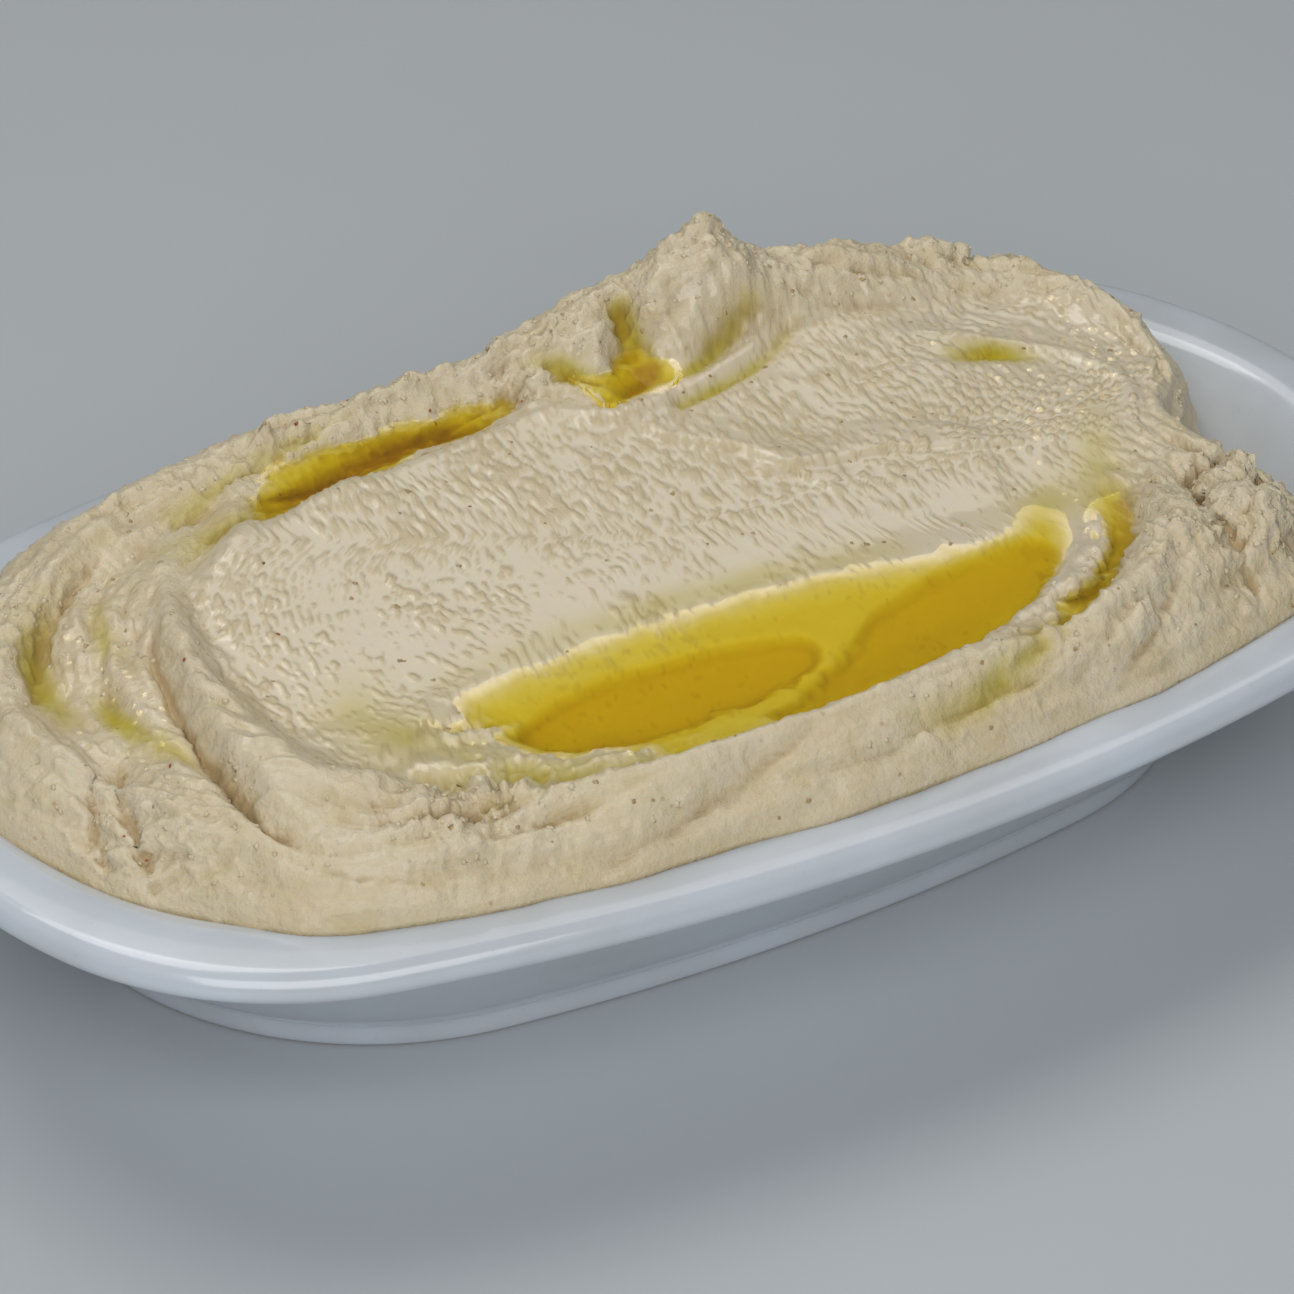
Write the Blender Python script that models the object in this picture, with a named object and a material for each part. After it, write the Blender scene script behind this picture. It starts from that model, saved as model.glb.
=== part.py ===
"""Hummus heaped in an oblong white dish, swept into a shallow trough that holds pools of oil.

Sizes are in millimetres and become metres where a mesh is made. +X runs along the dish, +Z is up,
and the origin is under the middle of the foot.
"""

import bmesh
import bpy
import numpy as np

MM = 0.001
TOUCHING_GAP = 0.3  # kept between pieces that touch
SHARP_ANGLE = 0.9  # edges that turn by more than this many radians are drawn sharp

# Dish, seen from above: a quarter of each outline is a side arc, a corner arc and an end arc
RIM = {"half_width": 70.0, "side": 78.1, "side_turn": 0.234, "corner": 49.0, "end": 35.0, "end_turn": 0.436}
FOOT = {"half_width": 40.2, "side": 48.3, "side_turn": 0.145, "corner": 50.2, "end": 1.6, "end_turn": 0.293}
FOOT_INSET = 29.4  # how far the foot's outline lies inside the rim's
DISH_HEIGHT = 37.7
DISH_FLOOR = 7.5
DISH_POINTS = 60  # points round each outline
FINE_STEPS = 2001  # steps in which an outline's length is measured

# Dish in section: (inset from the rim's outline, height), from the middle of the floor to the lip and down
INSIDE_SECTION = (
    (36.0, DISH_FLOOR),
    (32.0, 9.0),
    (28.5, 12.0),
    (22.0, 21.0),
    (15.0, 31.0),
    (12.2, 34.8),
    (10.6, 36.6),
    (9.0, 37.4),
    (7.5, DISH_HEIGHT),
)
LIP_SECTION = ((3.0, DISH_HEIGHT), (1.4, 37.3), (0.4, 36.3), (0.0, 34.8), (0.4, 33.6), (1.6, 32.9))
OUTSIDE_SECTION = ((4.5, 32.4), (7.5, 30.8), (10.5, 27.5), (17.0, 18.5), (23.0, 10.5), (27.3, 5.6), (28.4, 4.6))
FOOT_SECTION = ((29.1, 4.0), (FOOT_INSET, 1.0), (30.2, 0.0), (33.6, 0.0), (34.6, 1.6))

# Hummus: how far in from the rim its edge meets the dish, by heading in degrees (0 faces +Y, 90 faces +X)
EDGE_INSETS = (
    (-180, 7.6), (-150, 8.0), (-130, 12.0), (-110, 11.0), (-90, 10.0), (-60, 9.0), (-30, 8.5), (0, 8.5),
    (40, 8.5), (60, 9.0), (75, 17.0), (90, 23.0), (103, 26.0), (116, 27.0), (126, 19.0), (140, 12.0),
    (155, 9.5), (180, 7.6),
)  # fmt: skip
EDGE_ROUNDING = 10.0  # width of the rounded shoulder inside the edge
HEAP_LEVEL = 45.5  # the heap's top between its ridges
TOP_CELLS = (44, 27)  # cells along and across the heap's top
UNDERSIDE_STATIONS = (9.3, 10.9, 12.5, 28.8, 36.3)  # insets at which the underside bends

# Trough swept along the heap: outline of its floor, clockwise, and how the floor lies
TROUGH = (
    (-65, 0), (-61, 20), (-46, 27), (-22, 31), (6, 33), (36, 34), (62, 31), (82, 26), (86, 8), (73, -8),
    (62, -16), (54, -28), (40, -38), (16, -44), (-10, -46), (-34, -45), (-50, -36), (-61, -20),
)  # fmt: skip
TROUGH_WALL = 9.0  # width of the slope from the floor up to the heap
TROUGH_TILT = 0.125  # rise of the floor towards the back
TROUGH_LOW_EDGE = (-14.0, 44.3)  # (y, height) where the floor dips under the oil
RIGHT_SHELF = (52.0, 26.0, 46.4)  # (x where it begins, length, height) of the smooth shelf at the right end
POOL_STEP = (1.7, 5.0)  # (depth, width) of the step down under the oil

# Ridges stand on the heap and hollows are pressed into it. Each is a path with a height or depth at each of its
# points, and a width on its left and on its right.
RIDGES = {
    "back": {
        "path": ((-86, 30), (-66, 44), (-40, 49), (-14, 49), (3, 47.5), (12, 47), (22, 46.5), (33, 46.5),
                 (46, 48), (60, 48), (74, 45), (86, 37), (90, 22)),
        "size": (1.5, 2.5, 4.0, 3.6, 8.2, 11.8, 14.0, 19.5, 10.5, 9.0, 6.0, 3.0, 1.0),
        "left": (8, 8, 7, 7, 8, 9, 10, 10, 11, 11, 10, 8, 6),
        "right": (9, 8, 7, 7, 11, 12, 12, 12, 13, 13, 11, 8, 6),
    },
    "left_end": {
        "path": ((-54, 34), (-68, 24), (-73.5, 8), (-75, -9), (-72, -28), (-61, -41), (-47, -50)),
        "size": (1.0, 4.0, 6.0, 6.0, 5.5, 4.2, 1.5),
        "left": (5.5,),
        "right": (5.5,),
    },
    "front": {
        "path": ((-66, -47), (-44, -53), (-20, -54), (5, -53.5), (30, -50), (50, -42), (62, -33)),
        "size": (1.5, 3.0, 3.6, 3.6, 3.4, 2.8, 2.0),
        "left": (6.0,),
        "right": (6.0,),
    },
    "torn_chunk": {
        "path": ((58, -46), (69, -40), (77, -28)),
        "size": (2.0, 3.5, 2.0),
        "left": (9.0,),
        "right": (9.0,),
    },
    "right_end": {
        "path": ((88, 24), (89, 8), (84, -8), (80, -20)),
        "size": (2.0, 1.5, 0.8, 1.5),
        "left": (6.0,),
        "right": (6.0,),
    },
}  # fmt: skip
HOLLOWS = {
    "pool_lobe_left": {
        "path": ((-41, -29), (-22, -32), (-2, -31)),
        "size": (3.0, 5.2, 4.6),
        "left": (6.0,),
        "right": (6.0,),
    },
    "pool_lobe_right": {
        "path": ((44, -24), (32, -31), (15, -37), (0, -40), (-18, -42)),
        "size": (3.0, 5.2, 5.2, 4.2, 2.0),
        "left": (6.0, 7.5, 7.0, 5.5, 4.5),
        "right": (6.0, 7.5, 7.0, 5.5, 4.5),
    },
    "back_channel": {
        "path": ((-47, 33), (-36, 37), (-18, 41), (-3, 42)),
        "size": (4.5, 5.5, 5.5, 4.5),
        "left": (5.0,),
        "right": (5.0,),
    },
    "back_pit": {"path": ((6, 38), (14, 41), (22, 46)), "size": (4.0, 6.0, 4.0), "left": (5.0,), "right": (5.0,)},
    "right_channel": {
        "path": ((36, -47), (47, -41), (56, -33), (61, -24)),
        "size": (1.5, 4.0, 4.6, 3.0),
        "left": (5.0,),
        "right": (5.0,),
    },
    "left_groove": {
        "path": ((-75, 20), (-80, 4), (-82, -12), (-81, -28), (-74, -42)),
        "size": (2.0, 3.2, 4.0, 3.8, 2.5),
        "left": (4.0,),
        "right": (4.0,),
    },
    "torn_hollow": {
        "path": ((-66, -43), (-57, -49), (-46, -52)),
        "size": (2.0, 3.0, 1.5),
        "left": (4.0,),
        "right": (4.0,),
    },
    "outer_groove": {
        "path": ((-84, 28), (-91, 8), (-92, -12)),
        "size": (1.8, 2.5, 2.0),
        "left": (5.0,),
        "right": (5.0,),
    },
}

# Oil: the level of each pool, and the patch of the heap that it may cover
POOLS = {
    "oil_pool_front": {
        "level": 44.0,
        "patch": ((-56, -26), (-34, -8), (10, -9), (48, -14), (51, -27), (34, -42), (0, -49), (-34, -51)),
    },
    "oil_channel_back": {"level": 47.4, "patch": ((-53, 26), (-42, 42), (-20, 47), (0, 47), (1, 37), (-20, 34))},
    "oil_pit_back": {"level": 52.5, "patch": ((2, 34), (6, 44), (18, 50), (26, 46), (16, 35))},
    "oil_channel_right": {"level": 44.9, "patch": ((40, -49), (44, -41), (54, -29), (64, -27), (60, -40))},
}
POOL_BLOCK_DEPTH = 9.0
PATCH_STEPS = 4  # straight pieces between two points of a patch

CERAMIC = {"colour": (0.62, 0.65, 0.68), "roughness": 0.18}
HUMMUS = {"colour": (0.60, 0.52, 0.36), "roughness": 0.55}
OIL = {"colour": (0.48, 0.34, 0.01), "roughness": 0.08}


def clear_scene():
    for thing in list(bpy.data.objects):
        bpy.data.objects.remove(thing)


def new_collection(name):
    collection = bpy.data.collections.new(name)
    bpy.context.scene.collection.children.link(collection)
    return collection


def new_material(name, look):
    material = bpy.data.materials.new(name)
    material.use_nodes = True
    shader = material.node_tree.nodes["Principled BSDF"]
    shader.inputs["Base Color"].default_value = (*look["colour"], 1.0)
    shader.inputs["Roughness"].default_value = look["roughness"]
    shader.inputs["Metallic"].default_value = 0.0
    return material


def new_object(name, points, faces, collection, material):
    """An object with its points in millimetres, its faces turned outwards."""
    mesh = bpy.data.meshes.new(name)
    mesh.from_pydata([tuple(float(v) * MM for v in point) for point in points], [], faces)
    shape = bmesh.new()
    shape.from_mesh(mesh)
    bmesh.ops.remove_doubles(shape, verts=shape.verts, dist=0.001 * MM)
    bmesh.ops.recalc_face_normals(shape, faces=shape.faces)
    shape.to_mesh(mesh)
    shape.free()
    thing = bpy.data.objects.new(name, mesh)
    collection.objects.link(thing)
    mesh.materials.append(material)
    mesh.shade_smooth()
    mesh.set_sharp_from_angle(angle=SHARP_ANGLE)
    return thing


def oval_point(shape, heading):
    """The point of an outline whose edge faces this way, from the three arcs of a quarter."""
    lean = np.arctan2(np.abs(np.sin(heading)), np.abs(np.cos(heading)))
    bends = (0.0, shape["side_turn"], np.pi / 2 - shape["end_turn"], np.pi / 2)
    radii = (shape["side"] / shape["side_turn"], shape["corner"], shape["end"] / shape["end_turn"])
    along = np.zeros_like(lean)
    drop = np.zeros_like(lean)
    half_width = 0.0
    for start, stop, radius in zip(bends, bends[1:], radii):
        reached = np.clip(lean, start, stop)
        along += radius * (np.sin(reached) - np.sin(start))
        drop += radius * (np.cos(start) - np.cos(reached))
        half_width += radius * (np.cos(start) - np.cos(stop))
    scale = shape["half_width"] / half_width
    x = np.sign(np.sin(heading)) * along * scale
    y = np.sign(np.cos(heading)) * (half_width - drop) * scale
    return np.stack([x, y], axis=-1)


def dish_point(heading, inset):
    """A point this far in from the rim's outline, on the way from the rim to the foot."""
    share = np.asarray(inset)[..., None] / FOOT_INSET
    return oval_point(RIM, heading) * (1 - share) + oval_point(FOOT, heading) * share


def dish_inside_height(inset):
    insets, heights = np.array(INSIDE_SECTION[::-1]).T
    return np.interp(inset, insets, heights)


def rest_height(inset):
    """Height at which the hummus lies on the dish, the gap included."""
    return dish_inside_height(np.asarray(inset) - TOUCHING_GAP) + TOUCHING_GAP


def loft(rings, capped=(True, True)):
    """Points and faces of a skin over rings of equally many points, with a cap on each end asked for."""
    count = len(rings[0])
    faces = []
    for ring in range(len(rings) - 1):
        for i in range(count):
            j = (i + 1) % count
            low, high = ring * count, (ring + 1) * count
            faces.append((low + i, low + j, high + j, high + i))
    if capped[0]:
        faces.append(tuple(range(count))[::-1])
    if capped[1]:
        faces.append(tuple(range((len(rings) - 1) * count, len(rings) * count)))
    return np.concatenate(rings), faces


def travel(headings):
    """Distance gone round the rim's outline at each of these headings."""
    steps = np.hypot(*np.diff(oval_point(RIM, headings), axis=0).T)
    return np.concatenate([[0.0], np.cumsum(steps)])


def make_dish(collection):
    """Rings lofted down the section, with their points closer together round the corners."""
    fine = np.linspace(0, 2 * np.pi, FINE_STEPS)
    travelled = travel(fine)
    mixed = travelled / travelled[-1] + fine / fine[-1]
    headings = np.interp(2 * (np.arange(DISH_POINTS) + 0.5) / DISH_POINTS, mixed, fine)
    rings = []
    for inset, height in INSIDE_SECTION + LIP_SECTION + OUTSIDE_SECTION + FOOT_SECTION:
        flat = dish_point(headings, np.full(DISH_POINTS, inset))
        rings.append(np.column_stack([flat, np.full(DISH_POINTS, height)]))
    points, faces = loft(rings)
    return new_object("dish", points, faces, collection, new_material("glazed_ceramic", CERAMIC))


def smooth_path(points, steps=8):
    """A curve through the points, as short straight pieces."""
    points = np.array(points, float)
    ends = [2 * points[0] - points[1]], [2 * points[-1] - points[-2]]
    points = np.concatenate([ends[0], points, ends[1]])
    path = []
    for a, b, c, d in zip(points, points[1:], points[2:], points[3:]):
        for t in np.arange(steps) / steps:
            bend = (2 * a - 5 * b + 4 * c - d) * t * t + (3 * b - a - 3 * c + d) * t**3
            path.append(0.5 * (2 * b + (c - a) * t + bend))
    path.append(points[-2])
    return np.array(path), steps


def nearest(points, x, y):
    """Distance to the path through the points, the side (1 on its left), and the place along it, in points."""
    path, steps = smooth_path(points)
    distance = np.full(x.shape, np.inf)
    side = np.zeros(x.shape)
    place = np.zeros(x.shape)
    for i, (start, stop) in enumerate(zip(path, path[1:])):
        run = stop - start
        t = np.clip(((x - start[0]) * run[0] + (y - start[1]) * run[1]) / (run @ run), 0, 1)
        away_x = x - start[0] - t * run[0]
        away_y = y - start[1] - t * run[1]
        here = np.hypot(away_x, away_y)
        closer = here < distance
        distance = np.where(closer, here, distance)
        side = np.where(closer, np.sign(run[0] * away_y - run[1] * away_x), side)
        place = np.where(closer, (i + t) / steps, place)
    return distance, side, place


def at_place(values, place):
    return np.interp(place, np.arange(len(values)), values)


def stroke(form, x, y, sharpness=2.0):
    """Height of a ridge, or depth of a hollow, which fades away from its path."""
    distance, side, place = nearest(form["path"], x, y)
    width = np.where(side > 0, at_place(form["left"], place), at_place(form["right"], place))
    return at_place(form["size"], place) * np.exp(-((distance / width) ** sharpness))


def ease(share):
    share = np.clip(share, 0, 1)
    return share * share * (3 - 2 * share)


def trough_floor(x, y):
    low_y, low_height = TROUGH_LOW_EDGE
    start, length, shelf_height = RIGHT_SHELF
    step_depth, step_width = POOL_STEP
    shelf = ease((x - start) / length)
    swept = low_height + TROUGH_TILT * (y - low_y) - step_depth * ease((low_y - y) / step_width)
    floor = swept * (1 - shelf) + shelf_height * shelf
    for name in ("pool_lobe_left", "pool_lobe_right"):
        floor = floor - stroke(HOLLOWS[name], x, y, sharpness=4.0)
    return floor


def heap_height(x, y):
    """Height of the hummus over a point, before its edge is rounded off."""
    land = np.full(x.shape, HEAP_LEVEL)
    for ridge in RIDGES.values():
        land = land + stroke(ridge, x, y)
    distance, side, _ = nearest(TROUGH + TROUGH[:1], x, y)
    outside = ease((1.0 + distance * side) / TROUGH_WALL)
    height = trough_floor(x, y) * (1 - outside) + land * outside
    for name in ("back_channel", "back_pit", "right_channel", "left_groove", "torn_hollow", "outer_groove"):
        height = height - stroke(HOLLOWS[name], x, y)
    return height


def edge_inset(heading):
    """How far in from the rim the hummus meets the dish, its table smoothed over about 15 degrees."""
    headings, insets = np.array(EDGE_INSETS).T
    degrees = np.degrees(heading)
    spread = np.arange(-8, 9)
    weights = 9.0 - np.abs(spread)
    smoothed = 0.0
    for turn, weight in zip(spread, weights):
        smoothed = smoothed + weight * np.interp((degrees + turn + 180) % 360 - 180, headings, insets)
    return smoothed / weights.sum()


def spread_headings(cells_along, cells_across):
    """For each point of a grid: its share of the way out from the middle, and its heading on the oval."""
    fine = np.linspace(-np.pi, np.pi, FINE_STEPS)
    travelled = travel(fine)

    def between(first, last, share):
        start, stop = np.interp([first, last], fine, travelled)
        return np.interp(start + (stop - start) * share, travelled, fine)

    u, v = np.meshgrid(np.linspace(-1, 1, cells_along + 1), np.linspace(-1, 1, cells_across + 1), indexing="ij")
    out = np.maximum(np.abs(u), np.abs(v))
    square = np.where(out > 0, out, 1)
    on_side = np.abs(v) >= np.abs(u)
    corner = np.pi / 4
    side_heading = between(-corner, corner, (u / square + 1) / 2)
    side_heading = np.where(v < 0, np.pi - side_heading, side_heading)
    end_heading = between(corner, np.pi - corner, (1 - v / square) / 2)
    end_heading = np.where(u < 0, -end_heading, end_heading)
    return out, np.where(on_side, side_heading, end_heading)


def heap_top(cells_along, cells_across):
    """Points of the hummus's top on a grid drawn over the oval."""
    out, heading = spread_headings(cells_along, cells_across)
    inset = edge_inset(heading)
    edge = dish_point(heading, inset)
    x, y = edge[..., 0] * out, edge[..., 1] * out
    outward = np.stack([np.sin(heading), np.cos(heading)], axis=-1)
    inwards = (edge * outward).sum(axis=-1) * (1 - out)
    share = np.clip(inwards / EDGE_ROUNDING, 0, 1)
    shoulder = 0.6 * np.sqrt(1 - (1 - share) ** 2) + 0.4 * ease(share)
    edge_height = rest_height(inset)
    height = edge_height + (heap_height(x, y) - edge_height) * shoulder
    return np.stack([x, y, height], axis=-1), heading


def make_hummus(collection):
    """The grid's top, rings down the dish's wall under it, and a flat underside on the dish's floor."""
    top, heading = heap_top(*TOP_CELLS)
    along, across = TOP_CELLS
    numbers = np.arange((along + 1) * (across + 1)).reshape(along + 1, across + 1)
    a, b, c, d = numbers[:-1, :-1], numbers[1:, :-1], numbers[1:, 1:], numbers[:-1, 1:]
    triangles = np.stack([a, b, c, a, c, d], axis=-1).reshape(-1, 3)
    border = np.concatenate([numbers[:-1, 0], numbers[-1, :-1], numbers[:0:-1, -1], numbers[0, :0:-1]])
    border_heading = heading.reshape(-1)[border]
    rings = [top.reshape(-1, 3)[border]]
    for station in UNDERSIDE_STATIONS:
        inset = np.maximum(edge_inset(border_heading), station)
        rings.append(np.column_stack([dish_point(border_heading, inset), rest_height(inset)]))
    skirt_points, skirt_faces = loft(rings, capped=(False, True))
    first = top.shape[0] * top.shape[1]
    faces = [tuple(int(n) for n in triangle) for triangle in triangles]
    faces += [tuple(first + n for n in face) for face in skirt_faces]
    points = np.concatenate([top.reshape(-1, 3), skirt_points])
    return new_object("hummus", points, faces, collection, new_material("hummus", HUMMUS))


def make_pool(name, pool, hummus, collection, cutters, material):
    """A block of oil up to its level, cut away by the hummus raised by the gap."""
    ring, _ = smooth_path(pool["patch"] + pool["patch"][:1], PATCH_STEPS)
    ring = ring[:-1]
    bottom = np.column_stack([ring, np.full(len(ring), pool["level"] - POOL_BLOCK_DEPTH)])
    surface = np.column_stack([ring, np.full(len(ring), pool["level"])])
    points, faces = loft([bottom, surface])
    oil = new_object(name, points, faces, collection, material)
    cutter = hummus.copy()
    cutter.name = name + "_bed"
    cutter.location.z = TOUCHING_GAP * MM
    cutter.hide_render = True
    cutter.display_type = "WIRE"
    cutters.objects.link(cutter)
    cut = oil.modifiers.new("bed", "BOOLEAN")
    cut.operation = "DIFFERENCE"
    cut.solver = "EXACT"
    cut.object = cutter
    return oil


def main():
    clear_scene()
    parts = new_collection("hummus_in_dish")
    cutters = new_collection("cutters")
    make_dish(parts)
    hummus = make_hummus(parts)
    oil_material = new_material("oil", OIL)
    for name, pool in POOLS.items():
        make_pool(name, pool, hummus, parts, cutters, oil_material)


main()
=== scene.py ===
# %% [markdown]
# # Hummus in an oblong dish
#
# This lesson dresses a heap of hummus in a white glazed dish. The solid frame comes from the CAD model
# and is never moved. On top of it come the things that make the food look real: a glazed dish
# whose rim is truly round, a paste with folds, tears and grain, and pools of oil that are deep
# yellow where they are deep. Sizes are in millimetres, and become metres where a mesh is made.

# %% Load the frame
import itertools
import math

import bmesh
import bpy
import numpy as np
from mathutils import Matrix, Vector
from mathutils.bvhtree import BVHTree


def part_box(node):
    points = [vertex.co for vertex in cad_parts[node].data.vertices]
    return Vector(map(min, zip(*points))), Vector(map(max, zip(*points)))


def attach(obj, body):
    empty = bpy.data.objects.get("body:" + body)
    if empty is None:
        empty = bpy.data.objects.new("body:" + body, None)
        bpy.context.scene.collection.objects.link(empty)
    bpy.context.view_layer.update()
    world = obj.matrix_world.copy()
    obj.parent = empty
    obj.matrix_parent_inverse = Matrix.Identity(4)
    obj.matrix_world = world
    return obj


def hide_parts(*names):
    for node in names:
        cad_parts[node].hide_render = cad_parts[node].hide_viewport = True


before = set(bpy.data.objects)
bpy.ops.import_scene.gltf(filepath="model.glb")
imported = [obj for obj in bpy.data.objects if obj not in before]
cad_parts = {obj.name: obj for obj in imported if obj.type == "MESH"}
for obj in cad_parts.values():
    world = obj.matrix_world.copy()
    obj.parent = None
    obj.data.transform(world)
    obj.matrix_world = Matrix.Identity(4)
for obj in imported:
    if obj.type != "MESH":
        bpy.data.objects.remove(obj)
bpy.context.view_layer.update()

MM = 0.001
print("frame nodes:", sorted(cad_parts))

# %% [markdown]
# ## Camera, light and table
# The camera stands low over the left front corner with a long lens, which is how food is usually
# shown: from a seated eater's side, with the far rim nearly as large as the near one. One broad panel hangs high
# behind the dish: a wet slope that leans towards the camera mirrors it and turns pale, while the level
# oil mirrors the dim wall below it and stays a deep yellow. Spot lamps could light it too, but they
# leave hard dots on wet skin, and two broad panels in a dim room are easier to steer.

# %% Camera
CAMERA_TURN = math.radians(-30.65)  # round from the dish's front, towards its left end
CAMERA_RISE = math.radians(33.32)  # above the table
CAMERA_AIM = Vector((2.08, 9.81, 20.0)) * MM
CAMERA_DISTANCE = 676.3 * MM
CAMERA_LENS = 127.98  # millimetres on a sensor of the usual 36

camera_back = Vector(
    (
        math.sin(CAMERA_TURN) * math.cos(CAMERA_RISE),
        -math.cos(CAMERA_TURN) * math.cos(CAMERA_RISE),
        math.sin(CAMERA_RISE),
    )
)
camera_data = bpy.data.cameras.new("camera")
camera_data.lens = CAMERA_LENS
camera = bpy.data.objects.new("camera", camera_data)
bpy.context.scene.collection.objects.link(camera)
camera.location = CAMERA_AIM + camera_back * CAMERA_DISTANCE
camera.rotation_euler = (-camera_back).to_track_quat("-Z", "Y").to_euler()
bpy.context.scene.camera = camera
print("camera at", [round(v / MM) for v in camera.location], "mm")

# %% Light panels and the room
DISH_MIDDLE = Vector((0.0, 0.0, 0.03))
PANELS = {
    "key_panel": {"place": (-0.12, 0.44, 1.02), "size": (0.6, 0.5), "watts": 3.15, "colour": (1.0, 0.985, 0.96)},
    "film_panel": {"place": (0.37, 0.49, 0.85), "size": (1.0, 0.45), "watts": 1.8, "colour": (1.0, 0.99, 0.97)},
    "front_panel": {"place": (-0.45, -0.80, 0.72), "size": (1.2, 0.8), "watts": 9.6, "colour": (0.97, 0.98, 1.0)},
}
ROOM_COLOUR = (0.55, 0.62, 0.68)
ROOM_STRENGTH = 0.14


def hang_panel(name, place, size, watts, colour):
    light = bpy.data.lights.new(name, "AREA")
    light.shape = "RECTANGLE"
    light.size, light.size_y = size
    light.energy = watts
    light.color = colour
    panel = bpy.data.objects.new(name, light)
    bpy.context.scene.collection.objects.link(panel)
    panel.location = place
    panel.rotation_euler = (DISH_MIDDLE - panel.location).to_track_quat("-Z", "Y").to_euler()


for name, panel in PANELS.items():
    hang_panel(name, **panel)
room = bpy.data.worlds.new("room")
room.use_nodes = True
room.node_tree.nodes["Background"].inputs["Color"].default_value = (*ROOM_COLOUR, 1.0)
room.node_tree.nodes["Background"].inputs["Strength"].default_value = ROOM_STRENGTH
bpy.context.scene.world = room
bpy.context.scene.view_settings.view_transform = "Standard"
print("panels:", list(PANELS))

# %% [markdown]
# ## Helpers for nodes
# Every material and every Geometry Nodes tree below is built from the same two helpers: one puts a
# node in a tree and fills its inputs with values or links, the other starts a tree with named inputs.

# %% Node helpers
def add_node(tree, kind, inputs=(), **settings):
    """A node with its settings, and its inputs filled by number or name, from a value or another node's output."""
    node = tree.nodes.new(kind)
    for setting, value in settings.items():
        setattr(node, setting, value)
    for socket, value in dict(inputs).items():
        if isinstance(value, bpy.types.NodeSocket):
            tree.links.new(value, node.inputs[socket])
        else:
            node.inputs[socket].default_value = value
    return node


def new_tree(name, kind, inputs, outputs):
    """A node group with these named sockets: {name: (type, default)} in, {name: type} out."""
    tree = bpy.data.node_groups.new(name, kind)
    for label, (socket_type, value) in inputs.items():
        socket = tree.interface.new_socket(label, in_out="INPUT", socket_type="NodeSocket" + socket_type)
        if value is not None:
            socket.default_value = value
    for label, socket_type in outputs.items():
        tree.interface.new_socket(label, in_out="OUTPUT", socket_type="NodeSocket" + socket_type)
    return tree, tree.nodes.new("NodeGroupInput").outputs, tree.nodes.new("NodeGroupOutput")


def maths(tree, operation, a, b=0.0, clamp=False):
    return add_node(tree, "ShaderNodeMath", {0: a, 1: b}, operation=operation, use_clamp=clamp).outputs[0]


def noise(tree, place, scale, detail=2.0, roughness=0.5, distortion=0.0):
    inputs = {"Vector": place, "Scale": scale, "Detail": detail, "Roughness": roughness, "Distortion": distortion}
    return add_node(tree, "ShaderNodeTexNoise", inputs).outputs[0]


def remap(tree, value, low, high, to_low=0.0, to_high=1.0):
    inputs = {"Value": value, "From Min": low, "From Max": high, "To Min": to_low, "To Max": to_high}
    return add_node(tree, "ShaderNodeMapRange", inputs).outputs[0]


def blend_colours(tree, share, a, b, blend_type="MIX"):
    inputs = {"Factor": share, "A": a, "B": b}
    return mix_node(tree, inputs, blend_type)


def mix_node(tree, inputs, blend_type):
    node = tree.nodes.new("ShaderNodeMix")
    node.data_type = "RGBA"
    node.blend_type = blend_type
    sockets = {"Factor": node.inputs[0], "A": node.inputs[6], "B": node.inputs[7]}
    for label, value in inputs.items():
        if isinstance(value, bpy.types.NodeSocket):
            tree.links.new(value, sockets[label])
        elif label == "Factor":
            sockets[label].default_value = value
        else:
            sockets[label].default_value = (*value[:3], 1.0)
    return node.outputs[2]


def new_material(name):
    """A material with its tree, its Principled shader and Object coordinates in millimetres."""
    material = bpy.data.materials.new(name)
    material.use_nodes = True
    tree = material.node_tree
    coordinates = add_node(tree, "ShaderNodeTexCoord").outputs["Object"]
    in_mm = add_node(tree, "ShaderNodeVectorMath", {0: coordinates, "Scale": 1 / MM}, operation="SCALE")
    return material, tree, tree.nodes["Principled BSDF"], in_mm.outputs[0]


def attribute(tree, name):
    return add_node(tree, "ShaderNodeAttribute", attribute_name=name).outputs["Fac"]


print("node helpers ready")

# %% [markdown]
# ## The table
# The table is only a stage: a pale board without pattern, large enough that its edge never shows.
# It gets a faint mottle and a soft gloss, because a perfectly even sheet looks like an empty page.

# %% Table
TABLE_HALF = 3.0
TABLE_COLOUR = (0.50, 0.53, 0.55)


def make_table():
    mesh = bpy.data.meshes.new("table")
    corners = [(-TABLE_HALF, -TABLE_HALF, 0), (TABLE_HALF, -TABLE_HALF, 0)]
    corners += [(TABLE_HALF, TABLE_HALF, 0), (-TABLE_HALF, TABLE_HALF, 0)]
    mesh.from_pydata(corners, [], [(0, 1, 2, 3)])
    table = bpy.data.objects.new("table", mesh)
    bpy.context.scene.collection.objects.link(table)
    material, tree, shader, place = new_material("pale_board")
    mottle = noise(tree, place, 0.02, detail=4.0)
    darker = tuple(0.96 * channel for channel in TABLE_COLOUR)
    tree.links.new(blend_colours(tree, mottle, TABLE_COLOUR, darker), shader.inputs["Base Color"])
    shader.inputs["Roughness"].default_value = 0.55
    mesh.materials.append(material)


make_table()
print("table laid")

# %% [markdown]
# ## Outline of the dish
# Seen from above, the real dish is neither an ellipse nor a rounded box. A quarter of its outline is a
# long side arc, a corner arc and a short end arc. Reading the outline by heading, the way its edge
# faces, makes rim and foot match point for point, so every level between them is a simple mixture.

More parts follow.
